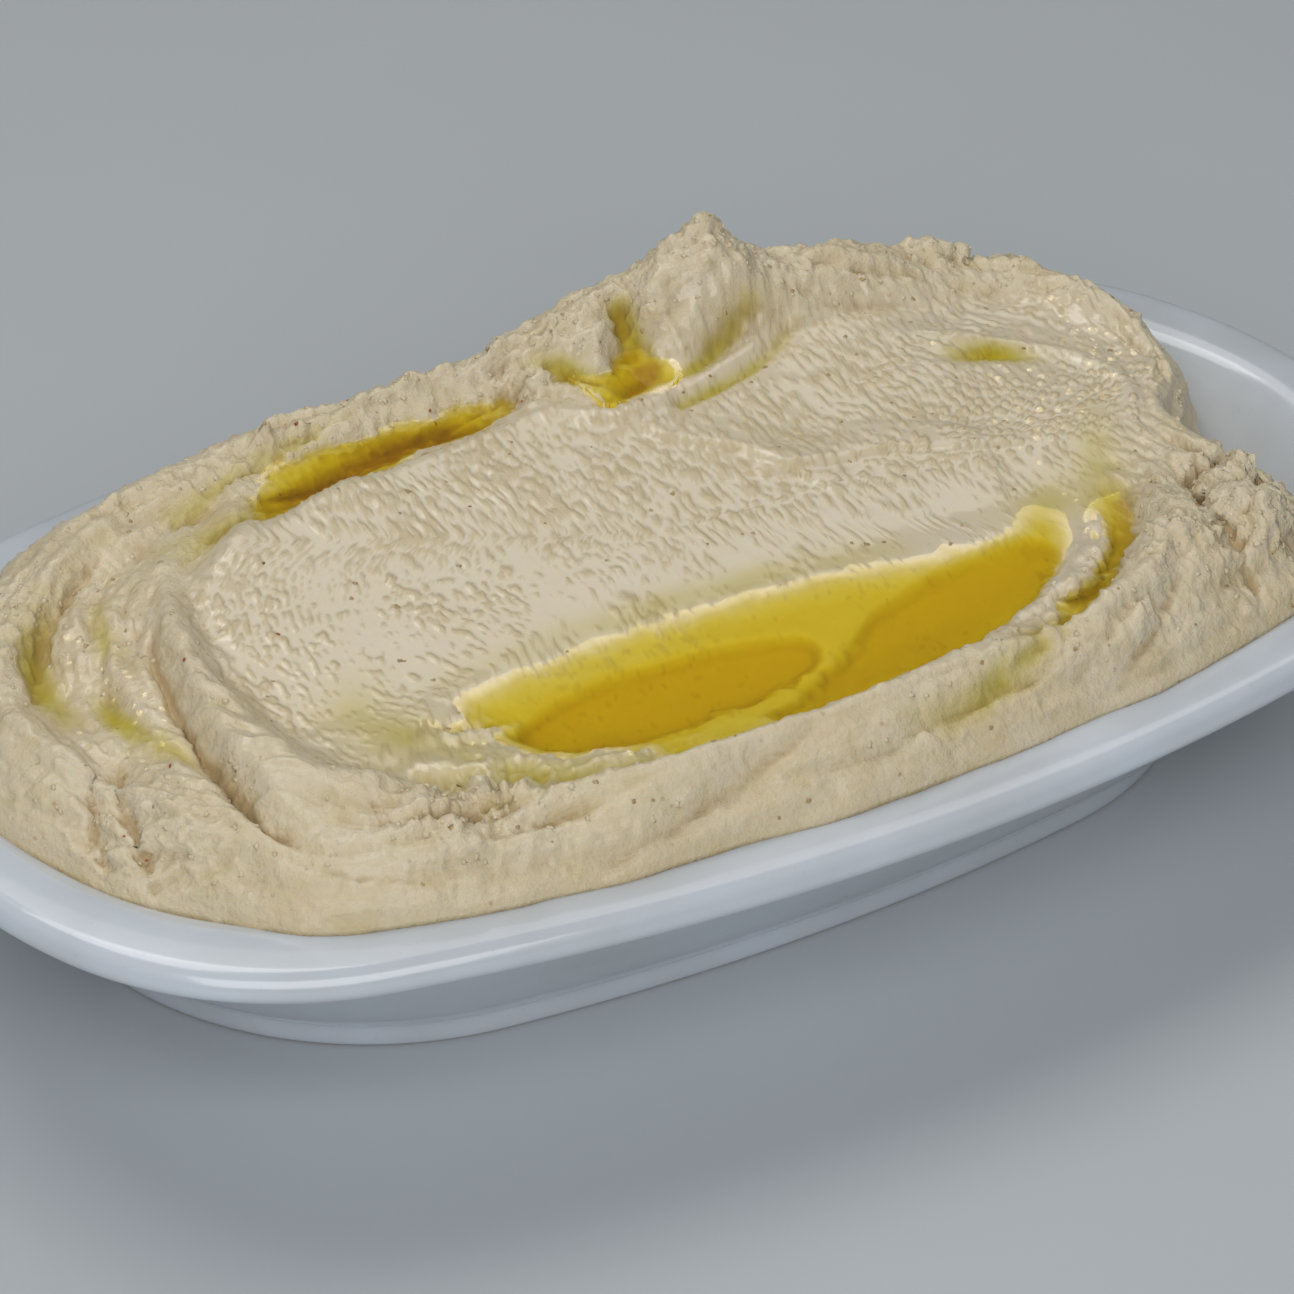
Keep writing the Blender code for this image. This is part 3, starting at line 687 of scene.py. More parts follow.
# %% Folds
FOLDS = {
    "wall_crease": (
        ((-73, 17), (-77, 8), (-79.5, -1), (-81, -12), (-81.5, -24), (-81, -34), (-78, -43)),
        (-0.3, -1.8, -2.4, -3.0, -4.6, -4.4, -0.4), 0.8, 1.0, 1.2,
    ),
    "wall_crease_lip": (
        ((-71, 15), (-75, 5), (-78, -10), (-78.5, -26), (-76, -38)), (0.2, 0.8, 1.0, 1.3, 0.4), 1.6, 1.2, 2.0,
    ),
    "short_crease": (((-75, 19), (-77, 14), (-79, 9)), (-0.3, -1.6, -0.3), 0.9, 0.9, 1.0),
    "left_crease_far": (((-94, -8), (-98, -17), (-101, -27), (-106, -41)), (-0.6, -3.6, -5.0, -3.6), 1.3, 1.4, 1.0),
    "left_crease_near": (((-91, -9), (-94, -17), (-96, -30), (-101, -48)), (-0.5, -2.8, -3.6, -2.6), 1.0, 1.2, 1.0),
    "left_roll": (((-88, -16), (-89, -28), (-91, -42)), (0.6, 1.4, 0.8), 3.0, 3.0, 2.0),
    "left_smear": (((-84, 29), (-90, 21), (-92, 12), (-92, 4)), (-0.4, -1.3, -1.3, -0.3), 2.8, 2.8, 2.0),
    "left_bench": (((-98, 14), (-99, 2), (-98, -8)), (0.5, 1.1, 0.6), 3.5, 3.0, 2.0),
    "torn_cavity": (
        ((-67, -40), (-61, -38), (-58, -43), (-55, -48.5), (-47, -52), (-39, -53.5)),
        (-0.8, -2.6, -3.0, -3.0, -2.4, -0.4), 2.8, 2.8, 1.6,
    ),
    "torn_cavity_lip": (((-67, -35), (-59, -33), (-51, -37)), (0.3, 1.1, 0.5), 1.6, 1.6, 2.0),
    "front_terrace_high": (((-58, -59), (-45, -58.5), (-29, -57), (-14, -55), (-7, -53.5)), (-0.5, -2.0, -2.3, -1.8, -0.3), 1.0, 1.5, 1.2),
    "front_terrace_low": (((-64, -62), (-42, -63), (-20, -61.5), (-2, -60)), (-0.4, -1.9, -1.9, -0.4), 0.9, 1.5, 1.1),
    "front_line": (((-22, -58.5), (-4, -58.6), (12, -56.5), (24, -55.5), (36, -51)), (-0.2, -1.6, -1.2, -1.8, -0.3), 0.9, 1.3, 1.0),
    "front_right_line": (((10, -60.5), (30, -57), (48, -49.5), (60, -42)), (-0.3, -1.9, -2.0, -0.5), 1.0, 1.6, 1.1),
    "front_roll": (((-44, -60.8), (-30, -60.2), (-18, -59.8), (0, -59)), (0.4, 1.5, 1.2, 0.4), 1.6, 1.6, 2.0),
    "rim_lump": (((-7, -62.5), (0, -62.5), (6, -61)), (1.6, 2.6, 2.2), 3.2, 4.0, 2.0),
    "rim_lump_crease": (((9, -66), (8.4, -61), (5, -56.5)), (-1.6, -2.2, -0.4), 0.9, 0.9, 1.0),
    "chunk_crack": (
        ((85, -20), (79, -24), (72, -26), (69, -33), (67, -45), (66, -56)),
        (-0.8, -4.4, -5.2, -4.6, -3.2, -1.2), 1.3, 1.7, 1.3,
    ),
    "chunk_crack_side": (((69.5, -31), (76, -34), (83, -32)), (-1.2, -3.6, -0.8), 1.1, 1.3, 1.2),
    "chunk_crack_top": (((76, -15), (78, -21), (82, -27), (88, -29)), (-0.6, -2.6, -3.0, -0.8), 0.9, 1.1, 1.2),
    "chunk_knob_high": (((80, -22.5), (84, -23), (87, -25)), (1.6, 2.4, 1.0), 2.0, 2.0, 2.0),
    "chunk_knob_mid": (((73, -29.5), (78, -30.5), (82, -29.5)), (1.0, 2.2, 1.2), 1.7, 1.7, 2.0),
    "chunk_knob_low": (((70.5, -38), (73, -42), (72, -48)), (0.8, 2.2, 0.8), 2.4, 2.0, 2.0),
    "right_bulge": (((52, -47), (60, -43), (65, -36)), (0.6, 1.6, 1.0), 4.0, 4.0, 2.0),
    "chunk_shoulder": (((73, -46), (78, -38), (83, -29)), (1.0, 1.8, 1.4), 3.5, 3.5, 2.0),
    "chunk_spike": (((83, -18.5), (85.2, -16.6)), (3.0, 4.2), 1.2, 1.2, 2.0),
    "right_lip": (((17, -49), (25, -46.5), (33, -43), (40.5, -39.4), (48, -34), (53, -27)), (0.3, 0.9, 1.5, 1.5, 1.1, 0.2), 3.0, 2.8, 2.4),
    "right_lip_teeth": (((34, -44.5), (42, -40.5), (49.5, -35.5), (55.5, -28.5)), (0.2, 0.9, 1.3, 0.9), 0.9, 0.9, 2.0),
    "right_valley": (((27, -52), (18, -55.5), (9, -57), (-2, -56.5)), (-1.6, -1.8, -1.4, -0.3), 2.4, 2.4, 2.0),
    "front_step": (((16, -59), (30, -57), (44, -52.5), (56, -45)), (0.3, 1.6, 2.0, 0.6), 1.4, 2.6, 2.0),
    "front_tuck": (((22, -61.5), (36, -58.5), (50, -51), (60, -43)), (-0.5, -2.1, -2.3, -0.7), 1.0, 1.5, 1.2),
    "wall_foot_fold": (((-64, -35), (-56, -42), (-44, -48), (-32, -50.5)), (0.3, 1.0, 1.0, 0.3), 1.6, 1.6, 2.0),
    "left_shoulder_fold": (((-86, -34), (-80, -46), (-68, -54), (-54, -58)), (0.3, 1.4, 1.4, 0.4), 2.4, 2.2, 2.0),
    "left_shoulder_crease": (((-84, -36), (-77, -46.5), (-65, -53.5)), (-0.4, -1.5, -0.4), 0.9, 1.1, 1.1),
    "left_back_fold": (((-98, 10), (-92, 22), (-82, 32), (-70, 40)), (0.4, 1.5, 1.5, 0.5), 1.8, 2.2, 2.0),
    "left_back_crease": (((-96, 8), (-89, 20), (-79, 30), (-68, 37)), (-0.4, -1.5, -1.5, -0.4), 0.9, 1.1, 1.1),
    "channel_left_bank": (((-57, 23), (-54, 29), (-51, 35), (-46, 41)), (1.0, 2.0, 2.2, 1.4), 3.4, 3.0, 2.0),
    "ledge_over_channel": (((-50, 42), (-38, 45), (-22, 48), (-6, 49)), (0.4, 1.4, 1.4, 0.6), 1.6, 2.4, 2.0),
    "channel_front_knobs": (((-44, 29), (-36, 31.5), (-30, 34), (-20, 35.5)), (0.3, 1.0, 0.6, 0.2), 1.0, 1.4, 2.0),
    "roll_beside_wall": (((-84, 22), (-83, 10), (-84.5, -4), (-85, -20), (-83, -34), (-76, -46)), (0.2, 0.5, 0.9, 1.1, 1.1, 0.3), 1.8, 1.8, 2.0),
    "pit_mound": (((-5, 36), (0, 38.5), (4, 42)), (1.0, 3.0, 2.2), 3.6, 3.6, 2.0),
    "back_shoulder": (((24, 38), (38, 40), (54, 39), (68, 35)), (0.6, 2.0, 2.4, 1.4), 4.0, 4.0, 2.0),
    "back_fold": (((42, 43), (54, 42.5), (66, 40)), (0.4, 1.4, 0.8), 1.8, 2.6, 2.0),
    "ledge_crease": (((-61, 35), (-48, 41), (-34, 45.5), (-24, 46.8)), (-0.2, -1.3, -1.4, -0.3), 1.0, 1.2, 1.0),
    "channel_lip": (((-52, 28), (-40, 30.5), (-28, 35), (-12, 36.5), (-2, 36)), (0.3, 0.9, 1.2, 1.0, 0.4), 1.8, 1.8, 2.0),
    "pit_branch": (((9, 29.5), (12, 31), (16.6, 34), (17.2, 38), (17, 43.5)), (-1.6, -3.4, -4.0, -3.6, -2.0), 2.1, 2.1, 2.0),
    "pit_lip": (((-2, 32), (5, 27.5), (12, 26.5), (20, 31), (27, 36)), (0.4, 1.2, 1.4, 1.2, 0.4), 2.0, 2.0, 2.0),
    "pit_left_branch": (((8, 35), (5, 39), (2, 42.5)), (-1.6, -2.0, -0.8), 1.8, 1.8, 2.0),
    "streak_high": (((18, 30.5), (24, 32.5), (30, 35), (40, 38)), (-1.4, -1.5, -1.5, -0.4), 1.5, 1.5, 1.6),
    "streak_low": (((17, 25.4), (25, 27.2), (33, 29.5), (42, 34)), (-1.2, -1.4, -1.3, -0.4), 1.3, 1.3, 1.6),
    "streak_rib": (((20, 28.2), (28, 30.6), (38, 34.6)), (0.5, 0.9, 0.4), 1.0, 1.0, 2.0),
    "right_pocket": (((63, 18.5), (67, 18), (70, 15.5)), (-0.9, -1.3, -0.7), 2.2, 2.0, 2.0),
    "lump_hollow": (((76, 41), (82, 41.5), (88, 41.5), (93, 40)), (-1.6, -3.0, -2.6, -1.0), 1.6, 2.0, 1.6),
    "lump_crown": (((74, 45.5), (80, 46), (87, 45), (91, 43)), (1.6, 2.6, 2.4, 1.2), 2.6, 2.6, 2.0),
    "right_crease": (((87.5, 17), (88, 12), (88, 5), (86.5, -4)), (-0.4, -1.7, -1.6, -0.4), 1.0, 1.0, 1.0),
    "back_crease": (((44, 44), (52, 41), (60, 38), (68, 36)), (-0.4, -1.6, -1.6, -0.4), 1.2, 1.6, 1.2),
    "back_crease_low": (((30, 40), (40, 40), (50, 36), (60, 33)), (-0.3, -1.1, -1.2, -0.4), 1.0, 1.4, 1.2),
    "shelf_edge": (((56, 27), (66, 22), (76, 14), (80, 3), (76, -8)), (0.2, 0.8, 0.9, 0.8, 0.2), 1.4, 1.8, 2.0),
}  # fmt: skip
SPIKES = (  # (x, y, height, width) of the points pulled up by the spoon
    (-40.7, 47.0, 3.6, 1.5), (-15.1, 49.0, 2.6, 2.4), (-10.5, 49.0, 1.8, 1.8), (-1.5, 48.0, 2.4, 2.6),
    (7.0, 48.0, 1.8, 2.0), (-24.0, 48.0, 1.2, 2.0), (-55.0, 42.0, 1.2, 1.8), (-69.0, 38.0, 1.0, 2.0), (20.3, 47.0, -1.6, 1.6), (27.3, 47.0, 1.2, 1.6), (34.6, 47.0, 1.4, 1.7),
    (41.4, 47.0, -1.2, 1.6), (49.9, 47.5, 1.0, 1.5), (57.5, 47.5, 1.4, 2.2), (70.2, 47.5, 1.6, 1.6), (-66.0, 44.0, 1.2, 1.2),
    (-87.0, 26.0, 1.0, 1.1), (88.0, 22.0, 1.4, 1.4), (-51.0, 44.5, 1.2, 1.2), (60.5, 46.5, 1.1, 1.3),
)  # fmt: skip
BED = {
    "pool_ledge": (((-40, -24), (-28, -23), (-14, -23), (-2, -24.5)), (0.1, 0.45, 0.4, 0.1), 1.2, 1.0, 2.0),
    "left_slope": (((-60, -22), (-57, -30), (-52, -38)), (0.2, 0.9, 1.3), 5.0, 4.0, 2.0),
    "island": (((-52, -25.5), (-47, -28), (-42, -29)), (0.7, 0.9, 0.4), 1.7, 1.7, 2.0),
    "front_shoal": (((-49, -36), (-42, -41), (-35, -45), (-31, -48)), (0.5, 0.8, 1.1, 1.0), 3.4, 3.4, 2.0),
}  # fmt: skip
LOBES = {  # hollows pressed into the bed: clockwise outline, depth, width of their side
    "left_lobe": (
        ((-43, -31), (-36, -27), (-26, -25.2), (-13.5, -25.4), (-2, -27.4), (3.2, -29.4), (4.4, -32.3), (2, -35.6),
         (-4, -38.2), (-12, -39), (-24, -39.6), (-34, -38.8), (-40, -35.5)), 2.3, 2.0,
    ),
    "right_lobe": (
        ((-10, -44), (-1, -40.5), (8, -34.8), (16, -29.4), (27.4, -25.8), (38.3, -24.6), (45, -24.5), (46.5, -29),
         (39, -37), (30, -42), (20, -45.5), (8, -48), (-8, -48.5)), 2.2, 2.6,
    ),
}  # fmt: skip
print("folds:", len(FOLDS), "spikes:", len(SPIKES), "forms under the oil:", len(BED))

# %% [markdown]
# ## Skin of the trough
# The back of a spoon leaves a skin like plaster: flat, under a film of oil that has crept uphill. Grains
# of chickpea stand out of the film, drawn out long across the trough, few at the left and
# many at the right. A plain noise would make bumps and dents alike. A film fills every dent, so
# here the noise is cut off flat below a level, and only what rises over it is kept.

# %% Film and grains
FILM_ZONES = (  # (x, y, radius along x, radius along y, how much lower the film lies: more grains stand out)
    (-12, 22, 13, 11, 0.30), (8, 10, 14, 10, 0.20), (-35, 22, 12, 6, 0.15), (34, 14, 16, 12, 0.20),
    (58, 10, 13, 14, 0.30), (68, -2, 12, 12, 0.25), (30, 26, 14, 5, -0.20), (-30, -7, 24, 6, -0.20),
    (4, -10, 30, 4, -0.25), (36, -14, 12, 4, -0.25), (-50, -10, 9, 12, -0.20), (0, -36, 60, 17, -0.80),
)  # fmt: skip
FILM_LEVEL = 0.06
GRAIN_HEIGHT = 0.36
FILM_STEPS = {  # edges where one film of oil lies over another: path, height, width on its left and right
    "upper": (((-2, 37), (5, 35), (8, 31), (7.6, 24), (12, 17.5), (19, 11.8), (22.5, 5)), 0.85, 6.0, 0.40, 2.0),
    "lower": (((22.5, 5), (29.5, 3.6), (37, 3), (44, 0), (52, -3)), 0.75, 5.0, 0.40, 2.0),
    "corner": (((41, 8.3), (50.5, 3), (51.8, -4), (47.5, -14.5)), 0.35, 0.7, 5.0, 2.0),
}  # fmt: skip
RIPPLE_PITCH = 1.25


def film_level(x, y):
    level = np.full(x.shape, FILM_LEVEL)
    for cx, cy, rx, ry, lower in FILM_ZONES:
        level -= lower * np.exp(-(((x - cx) / rx) ** 2) - ((y - cy) / ry) ** 2)
    return level


def grains(points):
    """Height of the grains over the film, and how far the film lies over them where they are covered."""
    x, y = points[..., 0], points[..., 1]
    drift = np.stack([soft_noise(points, 7.0, 61), soft_noise(points, 7.0, 62), 0 * x], axis=-1)
    long_grain = soft_noise(points + drift, (0.80, 1.9, 1.9), 63)
    short_grain = soft_noise(points, (0.70, 1.1, 1.1), 64)
    patches = soft_noise(points, (9.0, 12.0, 9.0), 65)
    distance, _, _ = nearest(RIDGES["left_end"][0], x, y)
    ripples = np.sin(2 * np.pi * distance / RIPPLE_PITCH + 2.0 * soft_noise(points, 5.0, 66))
    near_wall = np.exp(-(((distance - 16.0) / 7.0) ** 2))
    pebbles = 1.7 * lumps(points + drift, (1.5, 1.9, 1.9), 67) - 0.75
    pebbly = ease((x - 40 + 6 * patches) / 16)
    long_grain = long_grain * (1 - pebbly) + pebbles * pebbly
    mixture = long_grain + 0.45 * short_grain + 0.45 * patches + 0.45 * near_wall * ripples
    return mixture - film_level(x, y)


print("film zones:", len(FILM_ZONES))

# %% Heap height
ROUGH_ZONES = (  # (x, y, radius along x, radius along y, added roughness)
    (75, -34, 12, 13, 0.95), (-57, -45, 11, 7, 0.85), (30, 47, 26, 8, 0.35), (82, 42, 12, 7, 0.60),
    (-97, -28, 12, 16, 0.60), (60, -42, 9, 8, 0.45), (-32, 45, 30, 8, 0.45), (-86, 26, 12, 10, 0.35), (-48, -27, 8, 4, 0.80),
    (-28, -43.5, 18, 3.4, 0.60), (87, 16, 6, 18, 0.35), (12, 38, 12, 8, 0.30), (48, 42, 28, 7, 0.25), (-46, -38, 12, 6, 0.60),
    (40, -40, 16, 5, 0.35), (-2, 42, 8, 6, 0.50), (66, 24, 16, 9, 0.45), (36, -52, 26, 6, 0.25),
)  # fmt: skip
ROUGH_EVERYWHERE = 0.50


def heap_form(x, y):
    """Height of the heap without its grain, and the share of the land outside the trough."""
    land = HEAP_LEVEL + strokes(RIDGES, x, y)
    outside = outside_trough(x, y)
    floor = trough_floor(x, y) + strokes(BED, x, y)
    at = np.stack([x, y, 0 * x], axis=-1)
    jagged = 0.9 * soft_noise(at, 3.4, 51) + 0.5 * soft_noise(at, 1.5, 52)
    for outline, depth, slope in LOBES.values():
        floor = floor - depth * ease((depth_inside(outline, x, y) + jagged * (y < -34)) / slope + 0.5)
    height = floor * (1 - outside) + land * outside
    height = height + strokes(GROOVES, x, y) + strokes(FOLDS, x, y)
    for cx, cy, rise, width in SPIKES:
        height = height + rise * np.exp(-((np.hypot(x - cx, y - cy) / width) ** 1.6))
    return height, outside


def roughness_of_paste(x, y):
    total = np.full(x.shape, ROUGH_EVERYWHERE)
    for cx, cy, rx, ry, more in ROUGH_ZONES:
        total += more * np.exp(-(((x - cx) / rx) ** 2) - ((y - cy) / ry) ** 2)
    return total


print("rough zones:", len(ROUGH_ZONES))

# %% [markdown]
# ## One skin for the whole heap
# The paste is one body, so it is one closed mesh: a fine grid over the top, bent so that its border runs
# round the dish's wall, then a skirt down the wall and a flat base. Each grid point is first
# raised to the form's height and then pushed out along its own normal by the noise, so that steep
# walls are as rough as flat ones. A remeshed sculpture would also do, but a grid keeps cells even.

# %% Grid over the oval
FINE_CELLS = (500, 180)  # more cells along than across, because the grains are long across the dish
FINE_STEPS = 2001
UNDERSIDE_STATIONS = (9.3, 10.9, 12.5, 28.8, 36.3)
CLOSER_AT_RIM = (1.15, 1.35)  # how much closer the rows lie at the rim, where the paste is steep
SUNK = 0.15  # how far the paste presses into the glaze, so that no slit of light shows


def spread_headings(cells_along, cells_across):
    """For each point of a grid: its share of the way out from the middle, and its heading on the oval."""
    fine = np.linspace(-np.pi, np.pi, FINE_STEPS)
    travelled = np.concatenate([[0.0], np.cumsum(np.hypot(*np.diff(oval_point(RIM, fine), axis=0).T))])

    def between(first, last, share):
        start, stop = np.interp([first, last], fine, travelled)
        return np.interp(start + (stop - start) * share, travelled, fine)

    rows = [np.linspace(-1, 1, cells + 1) for cells in (cells_along, cells_across)]
    rows = [np.sign(row) * (1 - (1 - np.abs(row)) ** closer) for row, closer in zip(rows, CLOSER_AT_RIM)]
    u, v = np.meshgrid(*rows, indexing="ij")
    out = np.maximum(np.abs(u), np.abs(v))
    square = np.where(out > 0, out, 1)
    corner = np.pi / 4
    side_heading = between(-corner, corner, (u / square + 1) / 2)
    side_heading = np.where(v < 0, np.pi - side_heading, side_heading)
    end_heading = between(corner, np.pi - corner, (1 - v / square) / 2)
    end_heading = np.where(u < 0, -end_heading, end_heading)
    return out, np.where(np.abs(v) >= np.abs(u), side_heading, end_heading)


def wavering_inset(heading):
    """The edge's inset with the small waver of paste pressed against a wall."""
    rim = dish_point(heading, edge_inset(heading))
    at = np.concatenate([rim, np.zeros(rim.shape[:-1] + (1,))], axis=-1)
    return edge_inset(heading) + 0.8 * soft_noise(at, 16.0, 71) + 0.12 * soft_noise(at, 5.0, 72)


def rest_height(inset):
    return dish_inside_height(inset) - SUNK


print("grid of", FINE_CELLS, "cells")

# %% Top of the heap
def blur(values, along, across):
    """The average of a grid's values over a window of cells, run twice for a soft edge."""
    for _ in range(2):
        for axis, reach in ((0, along), (1, across)):
            widths = [(0, 0), (0, 0)]
            widths[axis] = (reach + 1, reach)
            summed = np.cumsum(np.pad(values, widths, mode="edge"), axis=axis)
            top = np.take(summed, range(2 * reach + 1, summed.shape[axis]), axis=axis)
            values = (top - np.take(summed, range(summed.shape[axis] - 2 * reach - 1), axis=axis)) / (2 * reach + 1)
    return values


def grid_normals(points):
    along, across = np.gradient(points, axis=0), np.gradient(points, axis=1)
    normals = np.cross(along, across)
    return normals / np.linalg.norm(normals, axis=-1, keepdims=True)


WAVER_LIMIT = 0.7  # torn paste wavers no more than this, or its steep sides would look fluted
SWEEP_RADIUS = 60.0  # the spoon went round the heap: streaks are long that way


def heap_top():
    """The heap's points, and the values that its colour needs: roughness of the paste and the film over it."""
    out, heading = spread_headings(*FINE_CELLS)
    inset = wavering_inset(heading)
    edge = dish_point(heading, inset)
    x, y = edge[..., 0] * out, edge[..., 1] * out
    outward = np.stack([np.sin(heading), np.cos(heading)], axis=-1)
    inwards = (edge * outward).sum(axis=-1) * (1 - out)
    crumbly = roughness_of_paste(x, y)
    at = np.stack([x, y, heap_form(x, y)[0]], axis=-1)
    waver = [np.minimum(crumbly, WAVER_LIMIT) * (0.6 * soft_noise(at, 5.5, 80 + i) + 0.25 * soft_noise(at, 2.1, 84 + i)) for i in range(2)]
    height, outside = heap_form(x + waver[0], y + waver[1])
    share = np.clip(inwards / EDGE_ROUNDING, 0, 1)
    shoulder = 0.6 * np.sqrt(1 - (1 - share) ** 2) + 0.4 * ease(share)
    edge_height = rest_height(inset)
    points = np.stack([x, y, edge_height + (height - edge_height) * shoulder], axis=-1)

    free = ease(inwards / 2.5)  # the edge itself stays on the dish
    skin = ease((outside - 0.05) / 0.5)
    around = np.stack([x, 1.65 * y], axis=-1)
    around = SWEEP_RADIUS * around / np.maximum(np.hypot(*np.moveaxis(around, -1, 0)), 1.0)[..., None]
    swept = np.concatenate([around, inwards[..., None]], axis=-1)
    tearing = np.clip(crumbly - ROUGH_EVERYWHERE, 0, 1)
    bulk = 1.15 * rough_noise(swept, (14.0, 14.0, 3.0), 90, octaves=3, fading=0.55)
    bulk += 0.60 * soft_noise(points, 6.5, 91) + (0.10 + 0.35 * tearing) * rough_noise(points, 2.6, 92, octaves=2)
    bulk += (0.18 + 0.9 * tearing) * (lumps(points + 0.5 * soft_noise(points, 2.0, 95)[..., None], 3.0, 93) - 0.45)
    bulk += (0.08 + 0.40 * tearing) * (lumps(points, 1.5, 94) - 0.45)
    knobs = np.maximum(soft_noise(points, 2.0, 97) - 0.12, 0) + 0.6 * np.maximum(soft_noise(points, 1.15, 98) - 0.15, 0)
    bulk += (0.75 + 0.9 * tearing) * knobs
    over_film = grains(points)
    floor_skin = GRAIN_HEIGHT * np.maximum(over_film, 0) ** 0.8 + 0.05 * soft_noise(points, 4.0, 96)
    floor_skin += strokes(FILM_STEPS, x, y)
    push = free * (skin * crumbly * bulk + (1 - skin) * (floor_skin + 0.9 * tearing * bulk))
    points = points + grid_normals(points) * push[..., None]
    return points, heading, inset, inwards, crumbly, outside, over_film


top, top_heading, top_inset, top_inwards, crumbly, outside, over_film = heap_top()
print("heap top:", top.shape, "highest", top[..., 2].max().round(2), "mm")

# %% [markdown]
# ## Values that travel with the mesh
# Colour follows shape: oil collects in hollows, creases carry painted shade and crests painted light, film is
# shiny and crumbs are dull. A texture alone can't know where a crease is, but the mesh does. So each
# point carries a few numbers, and the material reads them: how deep oil stands over it, how wet it is,
# how far it stands above or below its surroundings at two scales, and how crumbly it is.

# %% Oil over the paste
POOLS = {
    "oil_pool_front": ((-52, -31), (-50, -14), (-20, -12), (20, -14), (40, -19), (50, -15), (55, -22), (52, -30), (38, -41), (16, -49), (-10, -52), (-34, -54), (-34, -44)),
    "oil_channel_back": ((-53, 26), (-42, 42), (-20, 47), (0, 47), (1, 37), (-20, 34)),
    "oil_pit_back": ((7, 29), (7, 40), (14, 47), (20, 46), (20, 32), (13, 28)),
    "oil_channel_right": ((30, -52), (31, -46), (42, -40), (50, -33), (57, -24), (65, -25), (60, -38), (46, -47)),
}
STAINS = {  # thin oil that has run over the paste: path, depth in mm, widths
    "left_high": (((-84, 29), (-90, 21), (-92, 12), (-92, 4)), (0.15, 0.6, 0.6, 0.2), 2.2, 2.2, 2.0),
    "left_low": (((-86, 8), (-87, 0), (-85, -10), (-84, -20)), (0.1, 0.6, 0.6, 0.1), 1.6, 1.6, 2.0),
    "left_end": (((-78, 24), (-81, 15), (-82, 9)), (0.2, 0.35, 0.1), 1.5, 1.5, 2.0),
    "channel_left": (((-66, 28), (-56, 30), (-48, 33)), (0.25, 0.4, 0.6), 3.0, 3.0, 2.0),
    "channel_back": (((-60, 38), (-44, 43), (-28, 46)), (0.3, 0.35, 0.3), 1.8, 1.8, 2.0),
    "pit": (((8, 29), (13, 31), (17, 35), (17.5, 44)), (0.4, 1.1, 1.3, 0.6), 1.6, 1.6, 2.0),
    "pit_left": (((9, 34), (5, 39), (2, 42)), (0.9, 0.7, 0.3), 1.8, 1.8, 2.0),
    "streak_high": (((18, 30.5), (24, 32.5), (30, 35), (40, 38)), (0.5, 0.7, 0.5, 0.1), 0.9, 0.9, 2.0),
    "streak_low": (((17, 25.4), (25, 27.2), (33, 29.5), (42, 34)), (0.5, 0.7, 0.4, 0.1), 0.9, 0.9, 2.0),
    "right_pocket": (((62, 19), (67, 18), (71, 15)), (0.5, 0.9, 0.4), 2.4, 2.4, 2.0),
    "right_drips": (((59, -24), (65, -13), (71, -3)), (0.6, 0.3, 0.1), 3.0, 3.0, 2.0),
    "tip": (((46, -22), (52, -19), (57, -15)), (0.6, 0.4, 0.1), 4.0, 4.0, 2.0),
    "pool_left": (((-58, -16), (-54, -30), (-44, -42), (-30, -45)), (0.25, 0.4, 0.5, 0.5), 6.0, 6.0, 2.0),
    "front_right": (((4, -57), (14, -56), (26, -52), (36, -47.5)), (0.1, 0.35, 0.5, 0.6), 2.0, 2.0, 2.0),
    "pool_shore": (((-44, -16), (-20, -14), (8, -15), (26, -18)), (0.1, 0.3, 0.3, 0.2), 3.0, 3.0, 2.0),
}  # fmt: skip
WET_LAND = {  # where the skin outside the trough still shines
    "back_slope": (((-50, 31), (-20, 40), (10, 38), (40, 38), (66, 32)), 0.5, 6.0, 6.0, 2.0),
    "left": (((-70, 30), (-86, 18), (-88, -4), (-80, -24)), 0.45, 7.0, 7.0, 2.0),
    "right": (((62, 20), (74, 12), (78, -4), (66, -20)), 0.5, 9.0, 9.0, 2.0),
    "pool_edge": (((-56, -34), (-40, -46), (-16, -47), (14, -46)), 0.55, 5.0, 4.0, 2.0),
    "right_channel": (((30, -47), (46, -40), (58, -28)), 0.6, 4.0, 4.0, 2.0),
}  # fmt: skip


LEVEL_DROPS = {"oil_pit_back": 1.6}  # the crack's oil has sunk below the level that its solid is cut to


def pool_level(node):
    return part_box(node)[1].z / MM - LEVEL_DROPS.get(node, 0.0)


def oil_over(points):
    """Depth of oil over each point of the heap, pools and stains together."""
    x, y, z = points[..., 0], points[..., 1], points[..., 2]
    depth = np.zeros(x.shape)
    for node, patch in POOLS.items():
        depth = np.where(inside(patch, x, y), np.maximum(depth, pool_level(node) - z), depth)
    uneven = np.clip(0.85 + 0.35 * soft_noise(points, 6.0, 101), 0.2, 1.4)
    low_lying = np.clip(0.9 - 0.8 * relief(points, 7, 4), 0.2, 1.5)
    return np.maximum(depth, np.clip(strokes(STAINS, x, y) * uneven * low_lying, 0, None))


def relief(points, along, across):
    """How far each point stands above the average of its surroundings."""
    return points[..., 2] - blur(points[..., 2], along, across)


oil_depth = oil_over(top)
covered = 1 - ease(over_film / 0.25)
wet = (1 - outside) * (0.35 + 0.65 * covered)
wet_land = strokes(WET_LAND, top[..., 0], top[..., 1]) * np.clip(0.7 + 0.9 * soft_noise(top, 3.0, 103), 0, 1.3)
wet = np.clip(np.maximum(wet, wet_land) + oil_depth, 0, 1)
print("deepest oil", oil_depth.max().round(2), "mm; wet share", wet.mean().round(2))

